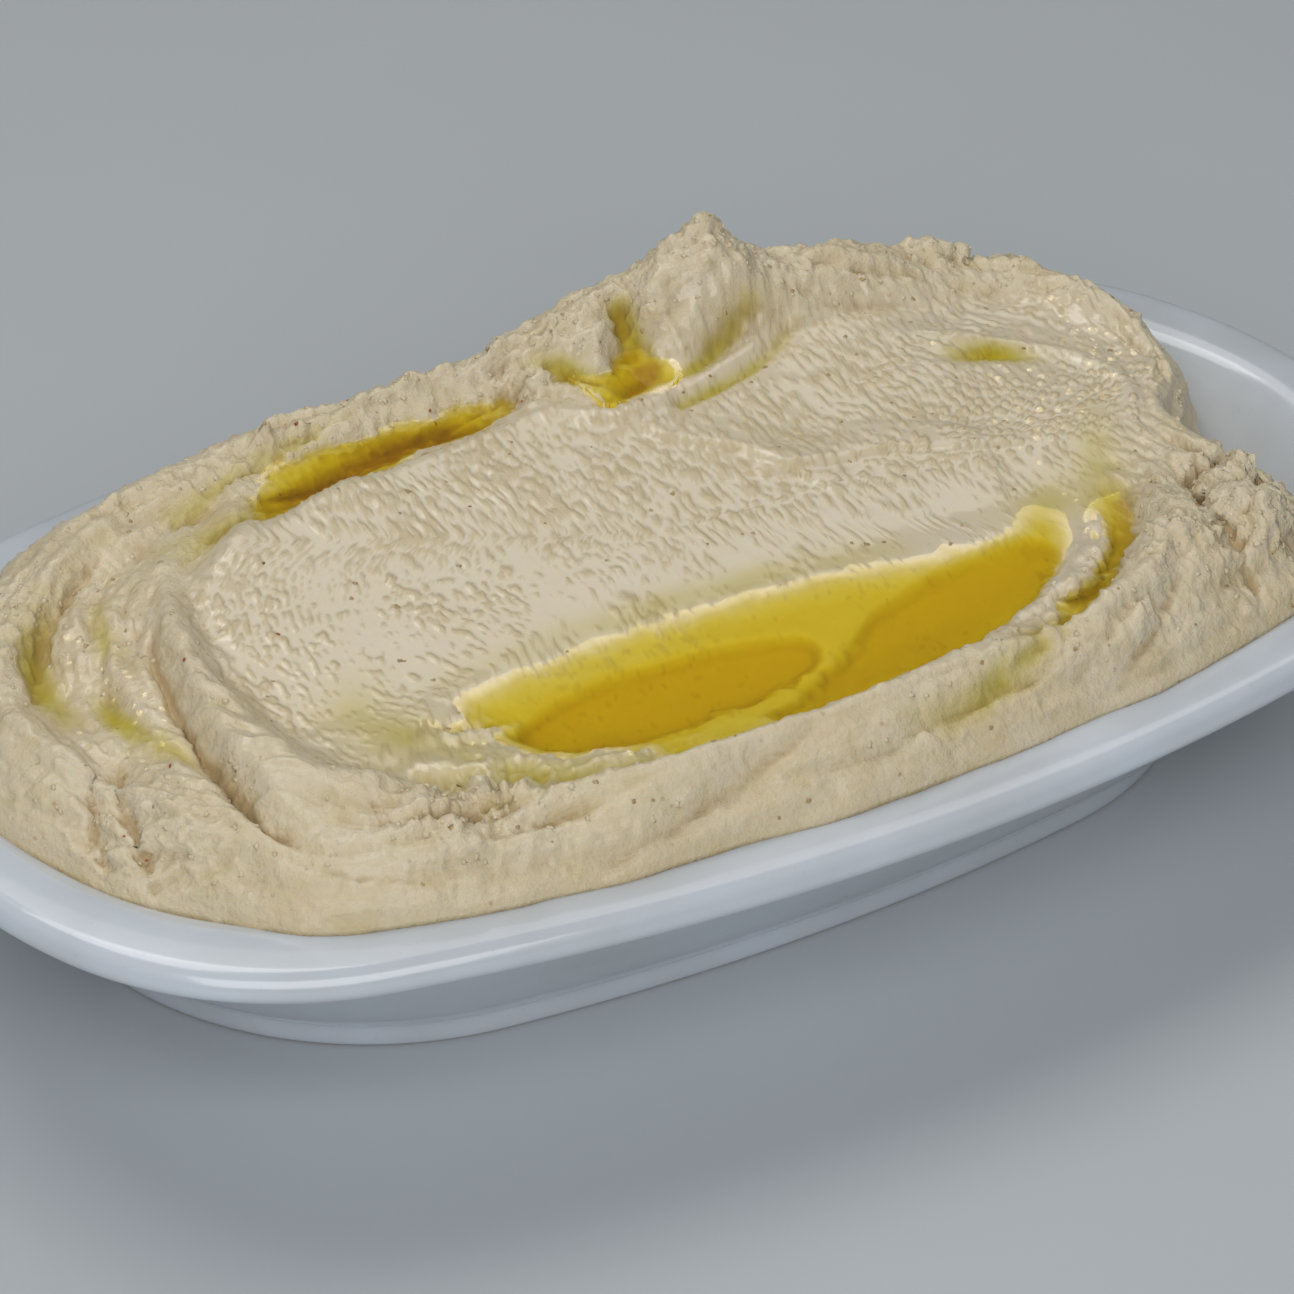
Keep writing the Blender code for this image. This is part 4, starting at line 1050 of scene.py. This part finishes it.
# %% Hummus mesh
def closed_heap():
    """Points and faces: the grid's top, a skirt down the dish's wall, and a base."""
    along, across = FINE_CELLS
    numbers = np.arange((along + 1) * (across + 1)).reshape(along + 1, across + 1)
    quads = np.stack([numbers[:-1, :-1], numbers[1:, :-1], numbers[1:, 1:], numbers[:-1, 1:]], axis=-1)
    border = np.concatenate([numbers[:-1, 0], numbers[-1, :-1], numbers[:0:-1, -1], numbers[0, :0:-1]])
    heading, inset = top_heading.reshape(-1)[border], top_inset.reshape(-1)[border]
    points, faces, ring = [top.reshape(-1, 3)], [quads.reshape(-1, 4)], border
    for station in UNDERSIDE_STATIONS:
        lower = np.maximum(inset, station)
        points.append(np.column_stack([dish_point(heading, lower), rest_height(lower)]))
        below = ring.max() + 1 + np.arange(len(border)) if ring is not border else numbers.size + np.arange(len(border))
        faces.append(np.column_stack([ring, below, np.roll(below, -1), np.roll(ring, -1)]))
        ring = below
    return np.concatenate(points), np.concatenate(faces).tolist() + [ring[::-1].tolist()]


BEAD_ZONES = ((66, 4, 12, 16), (57, -24, 5, 8), (84, 14, 5, 12), (-46, -28, 7, 4), (-28, -43, 16, 3), (-86, 4, 5, 18))


def bead_zones(x, y):
    """Where small beads of oil stand on the paste."""
    total = np.zeros(x.shape)
    for cx, cy, rx, ry in BEAD_ZONES:
        total += np.exp(-(((x - cx) / rx) ** 2) - ((y - cy) / ry) ** 2)
    return np.clip(total, 0, 1) ** 2 * (1 - ease(oil_depth / 0.6))


def store(mesh, name, values):
    """Keeps one number for each point, the skirt's points included."""
    filled = np.zeros(len(mesh.vertices), np.float32)
    filled[: values.size] = values.reshape(-1)
    mesh.attributes.new(name, "FLOAT", "POINT").data.foreach_set("value", filled)


def make_hummus():
    points, faces = closed_heap()
    mesh = bpy.data.meshes.new("hummus_heap")
    mesh.from_pydata(points * MM, [], faces)
    store(mesh, "oil_depth", np.clip(oil_depth, 0, 12))
    store(mesh, "wet", wet)
    store(mesh, "relief_fine", relief(top, 3, 2))
    store(mesh, "relief_broad", relief(top, 12, 8))
    store(mesh, "crumbly", crumbly * outside)
    bare = outside * (1 - ease(oil_depth / 0.3)) * ease(top_inwards / 4.0 - 0.3)
    store(mesh, "crumb_density", bare * np.clip(1.6 * crumbly - 0.75 + 0.5 * soft_noise(top, 6.0, 105), 0, 1))
    store(mesh, "bead_density", bead_zones(top[..., 0], top[..., 1]))
    store(mesh, "fleck_density", 1 - ease(oil_depth / 0.3))
    store(mesh, "film", (1 - outside) * covered)
    store(mesh, "grain", (1 - outside) * (1 - covered))
    shape = bmesh.new()
    shape.from_mesh(mesh)
    bmesh.ops.recalc_face_normals(shape, faces=shape.faces)
    shape.to_mesh(mesh)
    shape.free()
    mesh.shade_smooth()
    hummus = bpy.data.objects.new("hummus_heap", mesh)
    bpy.context.scene.collection.objects.link(hummus)
    return hummus


hummus = make_hummus()
print("hummus:", sum(len(face.vertices) - 2 for face in hummus.data.polygons), "triangles")

# %% [markdown]
# ## Oil tint and paste, as shared groups
# Oil takes blue out of light much faster than red, so the same oil is cream where it is a film, lemon at a
# millimetre and amber green at five. One group raises the colour left after one millimetre to the
# power of the depth, which is how a real liquid darkens. The second group is the paste's own
# grain, which the heap and its loose crumbs share, so that a crumb never looks like another food.

# %% Oil tint group
LEFT_AFTER_MM = (0.960, 0.905, 0.24)  # shares of red, green and blue left after a millimetre of oil


def make_oil_tint():
    tree, given, result = new_tree("oil_tint", "ShaderNodeTree", {"Depth": ("Float", 0.0)}, {"Tint": "Color"})
    tint = add_node(tree, "ShaderNodeGamma", {"Color": (*LEFT_AFTER_MM, 1.0), "Gamma": given["Depth"]})
    tree.links.new(tint.outputs[0], result.inputs[0])
    return tree


oil_tint = make_oil_tint()
print("oil tint ready")

# %% Paste grain group
PASTE = (0.662, 0.552, 0.362)
PASTE_PALE = (0.715, 0.622, 0.455)
PASTE_WARM = (0.600, 0.490, 0.270)
# painted shade: the brown that the creases are darkened towards
CREASE_SHADE_BROWN = (0.430, 0.280, 0.120)
FLECK_TAN = (0.400, 0.270, 0.120)
GRAIN_TAN = (0.560, 0.455, 0.270)


def make_paste_grain():
    """Colour and bump of the paste: cloudy, finely grained and with a few tan flecks."""
    inputs = {"Place": ("Vector", None), "Crumbly": ("Float", 0.5)}
    outputs = {"Colour": "Color", "Height": "Float"}
    tree, given, result = new_tree("paste_grain", "ShaderNodeTree", inputs, outputs)
    place = given["Place"]
    cloud = remap(tree, noise(tree, place, 0.09, detail=3.0), 0.35, 0.68)
    grain = noise(tree, place, 0.95, detail=3.0, roughness=0.6)
    fine = noise(tree, place, 2.4, detail=2.0)
    base = blend_colours(tree, cloud, PASTE, PASTE_PALE)
    warm = maths(tree, "MULTIPLY", remap(tree, noise(tree, place, 0.22, detail=2.0), 0.52, 0.72), 0.6)
    base = blend_colours(tree, warm, base, PASTE_WARM)
    base = blend_colours(tree, maths(tree, "MULTIPLY", remap(tree, grain, 0.55, 0.30), 0.35), base, PASTE_WARM)
    flecks = add_node(tree, "ShaderNodeTexVoronoi", {"Vector": place, "Scale": 0.42}).outputs["Distance"]
    chosen = remap(tree, noise(tree, place, 0.31, detail=0.0), 0.60, 0.64)
    fleck = maths(tree, "MULTIPLY", remap(tree, flecks, 0.17, 0.10), maths(tree, "MULTIPLY", chosen, 0.55))
    tree.links.new(blend_colours(tree, fleck, base, FLECK_TAN), result.inputs["Colour"])
    round_grain = add_node(tree, "ShaderNodeTexVoronoi", {"Vector": place, "Scale": 1.15}, feature="SMOOTH_F1").outputs["Distance"]
    grainy = maths(tree, "ADD", grain, maths(tree, "MULTIPLY", maths(tree, "SUBTRACT", 0.6, round_grain), 0.35))
    coarse = maths(tree, "MULTIPLY", grainy, maths(tree, "ADD", given["Crumbly"], 0.35))
    tree.links.new(maths(tree, "ADD", coarse, maths(tree, "MULTIPLY", fine, 0.35)), result.inputs["Height"])
    return tree


paste_grain = make_paste_grain()
print("paste grain ready")

# %% [markdown]
# ## Hummus material
# The paste scatters light a little below its skin, is dull where it is torn and glossy where oil has
# wetted it. The wetness drives a clear coat, which is a thin film in real life too. The relief values
# darken the creases towards brown and lighten the crests: painted shade and painted light.

# %% Hummus material
SOAKED_DARKER = 0.24
OIL_PATH = 1.25  # light goes down and up again, so the oil looks a little deeper than it is


def make_hummus_material():
    material, tree, shader, place = new_material("hummus_paste")
    soaked, fine, broad = attribute(tree, "wet"), attribute(tree, "relief_fine"), attribute(tree, "relief_broad")
    inputs = {"Place": place, "Crumbly": attribute(tree, "crumbly")}
    paste = add_node(tree, "ShaderNodeGroup", (), node_tree=paste_grain)
    for label, value in inputs.items():
        tree.links.new(value, paste.inputs[label])
    colour = paste.outputs["Colour"]
    # Crests mixed towards pale paste by the fine relief: painted light on the tops of the folds.
    painted_crest_light = maths(tree, "MULTIPLY", remap(tree, fine, 0.03, 0.32), 0.45)
    colour = blend_colours(tree, painted_crest_light, colour, PASTE_PALE)
    # Creases darkened towards brown by the fine relief: painted shade.
    crease = maths(tree, "MULTIPLY", remap(tree, fine, -0.16, -0.85), 0.70)
    colour = blend_colours(tree, crease, colour, CREASE_SHADE_BROWN)
    # Broad hollows mixed towards darker, warmer paste: painted shade, with some warmth of the oil that gathers there.
    hollow = maths(tree, "MULTIPLY", remap(tree, broad, -0.6, -3.2), 0.30)
    colour = blend_colours(tree, hollow, colour, PASTE_WARM)
    film, grain = attribute(tree, "film"), attribute(tree, "grain")
    # Film mixed towards pale paste: painted sheen of the oil film's gloss, on top of its real coat.
    colour = blend_colours(tree, maths(tree, "MULTIPLY", film, 0.75), colour, PASTE_PALE)
    colour = blend_colours(tree, maths(tree, "MULTIPLY", grain, 0.55), colour, GRAIN_TAN)
    tint = add_node(tree, "ShaderNodeGroup", (), node_tree=oil_tint)
    depth = attribute(tree, "oil_depth")
    tree.links.new(maths(tree, "MULTIPLY", depth, OIL_PATH), tint.inputs["Depth"])
    drowned = remap(tree, depth, 0.0, 0.5)
    colour = blend_colours(tree, maths(tree, "MULTIPLY", drowned, SOAKED_DARKER), colour, (0.0, 0.0, 0.0))
    tinted = blend_colours(tree, 1.0, colour, tint.outputs[0], "MULTIPLY")
    tree.links.new(tinted, shader.inputs["Base Color"])
    dull = maths(tree, "ADD", remap(tree, soaked, 0.0, 1.0, 0.46, 0.30), maths(tree, "MULTIPLY", crease, 0.1))
    tree.links.new(maths(tree, "MAXIMUM", dull, maths(tree, "MULTIPLY", drowned, 0.95)), shader.inputs["Roughness"])
    coat = maths(tree, "SUBTRACT", remap(tree, soaked, 0.1, 0.8, 0.30, 0.95), drowned, clamp=True)
    tree.links.new(coat, shader.inputs["Coat Weight"])
    shader.inputs["Specular IOR Level"].default_value = 0.12
    shader.inputs["Coat Roughness"].default_value = 0.07
    shader.inputs["Coat IOR"].default_value = 1.47
    shader.inputs["Subsurface Weight"].default_value = 0.30
    shader.inputs["Subsurface Radius"].default_value = (1.0, 0.6, 0.25)
    shader.inputs["Subsurface Scale"].default_value = 1.6 * MM
    height = maths(tree, "MULTIPLY", paste.outputs["Height"], remap(tree, soaked, 0.2, 0.95, 1.0, 0.12))
    bump = add_node(tree, "ShaderNodeBump", {"Height": height, "Strength": 0.8, "Distance": 0.4 * MM})
    tree.links.new(bump.outputs[0], shader.inputs["Normal"])
    return material


hummus.data.materials.append(make_hummus_material())
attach(hummus, "root")
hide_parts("hummus")
print("hummus dressed")

# %% [markdown]
# ## Pools of oil
# Oil lies level, and creeps up a little where it meets the paste. Each pool is its own closed body: its top
# is the level plus that creep, its underside follows the bed just under the paste's skin, and
# its border is hidden in the paste, so the shore is wherever the two shapes meet. A flat disc
# would show a cut edge, and a fluid simulation would find the same level after minutes of work.

# %% Pool shapes
POOL_CELL = 0.4
CREEP = 0.02  # how high the oil climbs at its shore
CREEP_WIDTH = 0.30
UNDER_SKIN = 0.4
SHORE_CELLS = 2
heap_tree = BVHTree.FromObject(hummus, bpy.context.evaluated_depsgraph_get())
DOWN = Vector((0.0, 0.0, -1.0))


def bed_height(x, y):
    hit, _, _, _ = heap_tree.ray_cast(Vector((x * MM, y * MM, 0.2)), DOWN)
    return 99.0 if hit is None else hit.z / MM


def grown(cells, steps):
    """A set of cells with its neighbours added, and with no two cells that touch only at a corner."""
    for _ in range(steps):
        wide = np.pad(cells, 1)
        cells = cells | wide[2:, 1:-1] | wide[:-2, 1:-1] | wide[1:-1, 2:] | wide[1:-1, :-2]
    for _ in range(4):
        a, b, c, d = cells[:-1, :-1], cells[1:, :-1], cells[1:, 1:], cells[:-1, 1:]
        pinched = (a & c & ~b & ~d) | (b & d & ~a & ~c)
        for block in (cells[:-1, :-1], cells[1:, :-1], cells[1:, 1:], cells[:-1, 1:]):
            block |= pinched
    return cells


def closed_sheet(cells, upper, lower, x, y):
    """A closed body over a set of cells, between an upper and a lower height at each grid point."""
    numbers = np.arange(x.size).reshape(x.shape)
    corners = [numbers[:-1, :-1], numbers[1:, :-1], numbers[1:, 1:], numbers[:-1, 1:]]
    tops = np.stack([corner[cells] for corner in corners], axis=-1)
    faces = [tops, tops[:, ::-1] + x.size]
    wide = np.pad(cells, 1)
    beside = (wide[1:-1, :-2], wide[2:, 1:-1], wide[1:-1, 2:], wide[:-2, 1:-1])
    for i, neighbour in enumerate(beside):
        open_side = cells & ~neighbour
        start, stop = corners[i][open_side], corners[(i + 1) % 4][open_side]
        faces.append(np.column_stack([stop, start, start + x.size, stop + x.size]))
    points = [np.stack([x, y, height], axis=-1).reshape(-1, 3) for height in (upper, lower)]
    faces = np.concatenate(faces)
    used, renumbered = np.unique(faces, return_inverse=True)
    return np.concatenate(points)[used], renumbered.reshape(faces.shape)


def make_pool(node, patch):
    level = pool_level(node)
    low, high = np.min(patch, axis=0), np.max(patch, axis=0)
    xs, ys = (np.arange(low[axis] - 2, high[axis] + 2, POOL_CELL) for axis in (0, 1))
    x, y = np.meshgrid(xs, ys, indexing="ij")
    bed = np.array([[bed_height(px, py) for py in ys] for px in xs])
    floats = inside(patch, x, y) & (bed < level + CREEP)
    cells = floats[:-1, :-1] | floats[1:, :-1] | floats[1:, 1:] | floats[:-1, 1:]
    cells = grown(cells, SHORE_CELLS)
    upper = level + CREEP * np.exp(-np.clip(level + CREEP - bed, 0, None) / CREEP_WIDTH)
    lower = np.minimum(bed, upper) - UNDER_SKIN
    points, faces = closed_sheet(cells, upper, lower, x, y)
    mesh = bpy.data.meshes.new(node + "_surface")
    mesh.from_pydata(points * MM, [], faces.tolist())
    mesh.shade_smooth()
    mesh.set_sharp_from_angle(angle=math.radians(50))
    pool = bpy.data.objects.new(node + "_surface", mesh)
    bpy.context.scene.collection.objects.link(pool)
    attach(pool, "root")
    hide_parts(node)
    return pool


pools = [make_pool(node, patch) for node, patch in POOLS.items()]
print("pools:", {pool.name: len(pool.data.polygons) for pool in pools})

# %% Oil material
OIL_CLEAR = (0.998, 0.992, 0.955)


def make_oil():
    """Clear yellow oil. Lamps shine straight through it, since its colour lies in the depth over the paste."""
    material, tree, shader, place = new_material("yellow_oil")
    haze = noise(tree, place, 0.12, detail=2.0)
    tint = tuple(0.97 * channel for channel in OIL_CLEAR)
    tree.links.new(blend_colours(tree, haze, OIL_CLEAR, tint), shader.inputs["Base Color"])
    tree.links.new(remap(tree, haze, 0.3, 0.7, 0.02, 0.06), shader.inputs["Roughness"])
    shader.inputs["Transmission Weight"].default_value = 1.0
    shader.inputs["IOR"].default_value = 1.47
    bump = add_node(
        tree, "ShaderNodeBump", {"Height": noise(tree, place, 0.16, detail=1.0), "Strength": 0.25, "Distance": 0.3 * MM}
    )
    tree.links.new(bump.outputs[0], shader.inputs["Normal"])
    clear = add_node(tree, "ShaderNodeBsdfTransparent", {"Color": (*OIL_CLEAR, 1.0)})
    shadow = add_node(tree, "ShaderNodeLightPath").outputs["Is Shadow Ray"]
    mixed = add_node(tree, "ShaderNodeMixShader", {0: shadow, 1: shader.outputs[0], 2: clear.outputs[0]})
    tree.links.new(mixed.outputs[0], tree.nodes["Material Output"].inputs["Surface"])
    return material


oil = make_oil()
for pool in pools:
    pool.data.materials.append(oil)
print("oil poured")

# %% [markdown]
# ## Crumbs, beads and flecks
# Torn paste leaves loose crumbs, oil stands on it in small beads, and bits of chickpea skin and spice stay
# in it. Hundreds of such things would be tiresome to place by hand, and they follow a rule: they lie
# where the paste is torn, or wet. So one Geometry Nodes tree scatters them all. It reads a number
# stored on the heap as a density, sets a small lump on each point, turned and sized by chance
# from a fixed seed, and presses it a little into the skin.

# %% Scatter tree
def make_scatter_tree():
    inputs = {
        "Geometry": ("Geometry", None),
        "Surface": ("Object", None),
        "Where": ("String", ""),
        "Number per Square Metre": ("Float", 1000.0),
        "Smallest": ("Float", 0.001),
        "Largest": ("Float", 0.002),
        "Flatness": ("Float", 0.8),
        "Unevenness": ("Float", 0.3),
        "Roundness": ("Int", 2),
        "Seed": ("Int", 0),
        "Finish": ("Material", None),
    }
    tree, given, result = new_tree("scatter_on_paste", "GeometryNodeTree", inputs, {"Geometry": "Geometry"})
    surface = add_node(tree, "GeometryNodeObjectInfo", {"Object": given["Surface"]}).outputs["Geometry"]
    where = add_node(tree, "GeometryNodeInputNamedAttribute", {"Name": given["Where"]}, data_type="FLOAT").outputs[0]
    density = maths(tree, "MULTIPLY", where, given["Number per Square Metre"])
    points = add_node(
        tree, "GeometryNodeDistributePointsOnFaces", {"Mesh": surface, "Density": density, "Seed": given["Seed"]}
    ).outputs
    ball = add_node(tree, "GeometryNodeMeshIcoSphere", {"Radius": 0.5, "Subdivisions": given["Roundness"]}).outputs[0]
    place = add_node(tree, "GeometryNodeInputPosition").outputs[0]
    swell = noise(tree, place, 1.7, detail=1.0)
    dent = maths(tree, "MULTIPLY", maths(tree, "SUBTRACT", swell, 0.5), given["Unevenness"])
    offset = add_node(tree, "ShaderNodeVectorMath", {0: place, "Scale": maths(tree, "MULTIPLY", dent, 4.0)}, operation="SCALE")
    lump = add_node(tree, "GeometryNodeSetPosition", {"Geometry": ball, "Offset": offset.outputs[0]}).outputs[0]

    def chance(low, high, offset):
        seed = maths(tree, "ADD", given["Seed"], offset)
        inputs = {2: low, 3: high, "Seed": seed}
        return add_node(tree, "FunctionNodeRandomValue", inputs, data_type="FLOAT").outputs[1]

    size = chance(given["Smallest"], given["Largest"], 1.0)
    scale = add_node(
        tree, "ShaderNodeCombineXYZ",
        {"X": size, "Y": maths(tree, "MULTIPLY", size, chance(0.6, 1.0, 2.0)), "Z": maths(tree, "MULTIPLY", size, given["Flatness"])},
    ).outputs[0]  # fmt: skip
    spin = add_node(tree, "ShaderNodeCombineXYZ", {"Z": chance(0.0, 6.28, 3.0)}).outputs[0]
    turned = add_node(tree, "FunctionNodeRotateEuler", {"Rotation": points["Rotation"], "Rotate By": spin}, rotation_type="EULER", space="LOCAL").outputs[0]
    set_down = add_node(
        tree, "GeometryNodeInstanceOnPoints",
        {"Points": points["Points"], "Instance": lump, "Rotation": turned, "Scale": scale},
    ).outputs[0]  # fmt: skip
    real = add_node(tree, "GeometryNodeRealizeInstances", {"Geometry": set_down}).outputs[0]
    painted = add_node(tree, "GeometryNodeSetMaterial", {"Geometry": real, "Material": given["Finish"]})
    tree.links.new(painted.outputs[0], result.inputs[0])
    return tree


scatter_tree = make_scatter_tree()
print("scatter tree:", len(scatter_tree.nodes), "nodes")

# %% Finishes of the small things
def make_crumb_finish():
    material, tree, shader, place = new_material("paste_crumb")
    paste = add_node(tree, "ShaderNodeGroup", {"Place": place, "Crumbly": 1.0}, node_tree=paste_grain)
    tree.links.new(paste.outputs["Colour"], shader.inputs["Base Color"])
    tree.links.new(remap(tree, noise(tree, place, 0.4), 0.35, 0.65, 0.35, 0.65), shader.inputs["Roughness"])
    bump = add_node(tree, "ShaderNodeBump", {"Height": paste.outputs["Height"], "Strength": 0.5, "Distance": 0.2 * MM})
    tree.links.new(bump.outputs[0], shader.inputs["Normal"])
    return material


def make_fleck_finish(name, dark, light):
    """Skin of chickpea or spice: thin, waxy and mottled."""
    material, tree, shader, place = new_material(name)
    mottle = remap(tree, noise(tree, place, 0.8, detail=2.0), 0.35, 0.65)
    tree.links.new(blend_colours(tree, mottle, dark, light), shader.inputs["Base Color"])
    tree.links.new(remap(tree, mottle, 0.0, 1.0, 0.35, 0.55), shader.inputs["Roughness"])
    return material


crumb_finish = make_crumb_finish()
skin_finish = make_fleck_finish("chickpea_skin", (0.34, 0.22, 0.09), (0.52, 0.38, 0.19))
spice_finish = make_fleck_finish("red_spice", (0.30, 0.07, 0.02), (0.45, 0.16, 0.05))
print("small finishes ready")

# %% Crumbs, beads and flecks
SMALL_THINGS = {
    "loose_crumbs": {"Where": "crumb_density", "Number per Square Metre": 150000.0, "Smallest": 0.35 * MM, "Largest": 0.95 * MM,
                     "Flatness": 0.6, "Unevenness": 0.9, "Roundness": 2, "Seed": 11, "Finish": crumb_finish, "slot": "hummus"},
    "oil_beads": {"Where": "bead_density", "Number per Square Metre": 160000.0, "Smallest": 0.35 * MM, "Largest": 1.20 * MM,
                  "Flatness": 0.45, "Unevenness": 0.0, "Roundness": 2, "Seed": 23, "Finish": oil, "slot": "oil"},
    "chickpea_flecks": {"Where": "fleck_density", "Number per Square Metre": 9000.0, "Smallest": 0.35 * MM, "Largest": 0.9 * MM,
                        "Flatness": 0.28, "Unevenness": 0.6, "Roundness": 2, "Seed": 37, "Finish": skin_finish, "slot": "hummus"},
    "spice_flecks": {"Where": "fleck_density", "Number per Square Metre": 700.0, "Smallest": 0.35 * MM, "Largest": 0.75 * MM,
                     "Flatness": 0.35, "Unevenness": 0.6, "Roundness": 2, "Seed": 41, "Finish": spice_finish, "slot": "hummus"},
}  # fmt: skip


def scatter_small_things(name, settings):
    sizes = {label: value for label, value in settings.items() if label != "slot"} | {"Surface": hummus}
    carrier = point_chain("carrier", [(0.0, 0.0, 0.0)])
    piece = finished_mesh(carrier, scatter_tree, sizes, name)
    bpy.data.objects.remove(carrier)
    piece.data.shade_smooth()
    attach(piece, "root")
    return piece


small_things = [scatter_small_things(name, settings) for name, settings in SMALL_THINGS.items()]
print("small things:", {piece.name: len(piece.data.polygons) for piece in small_things})
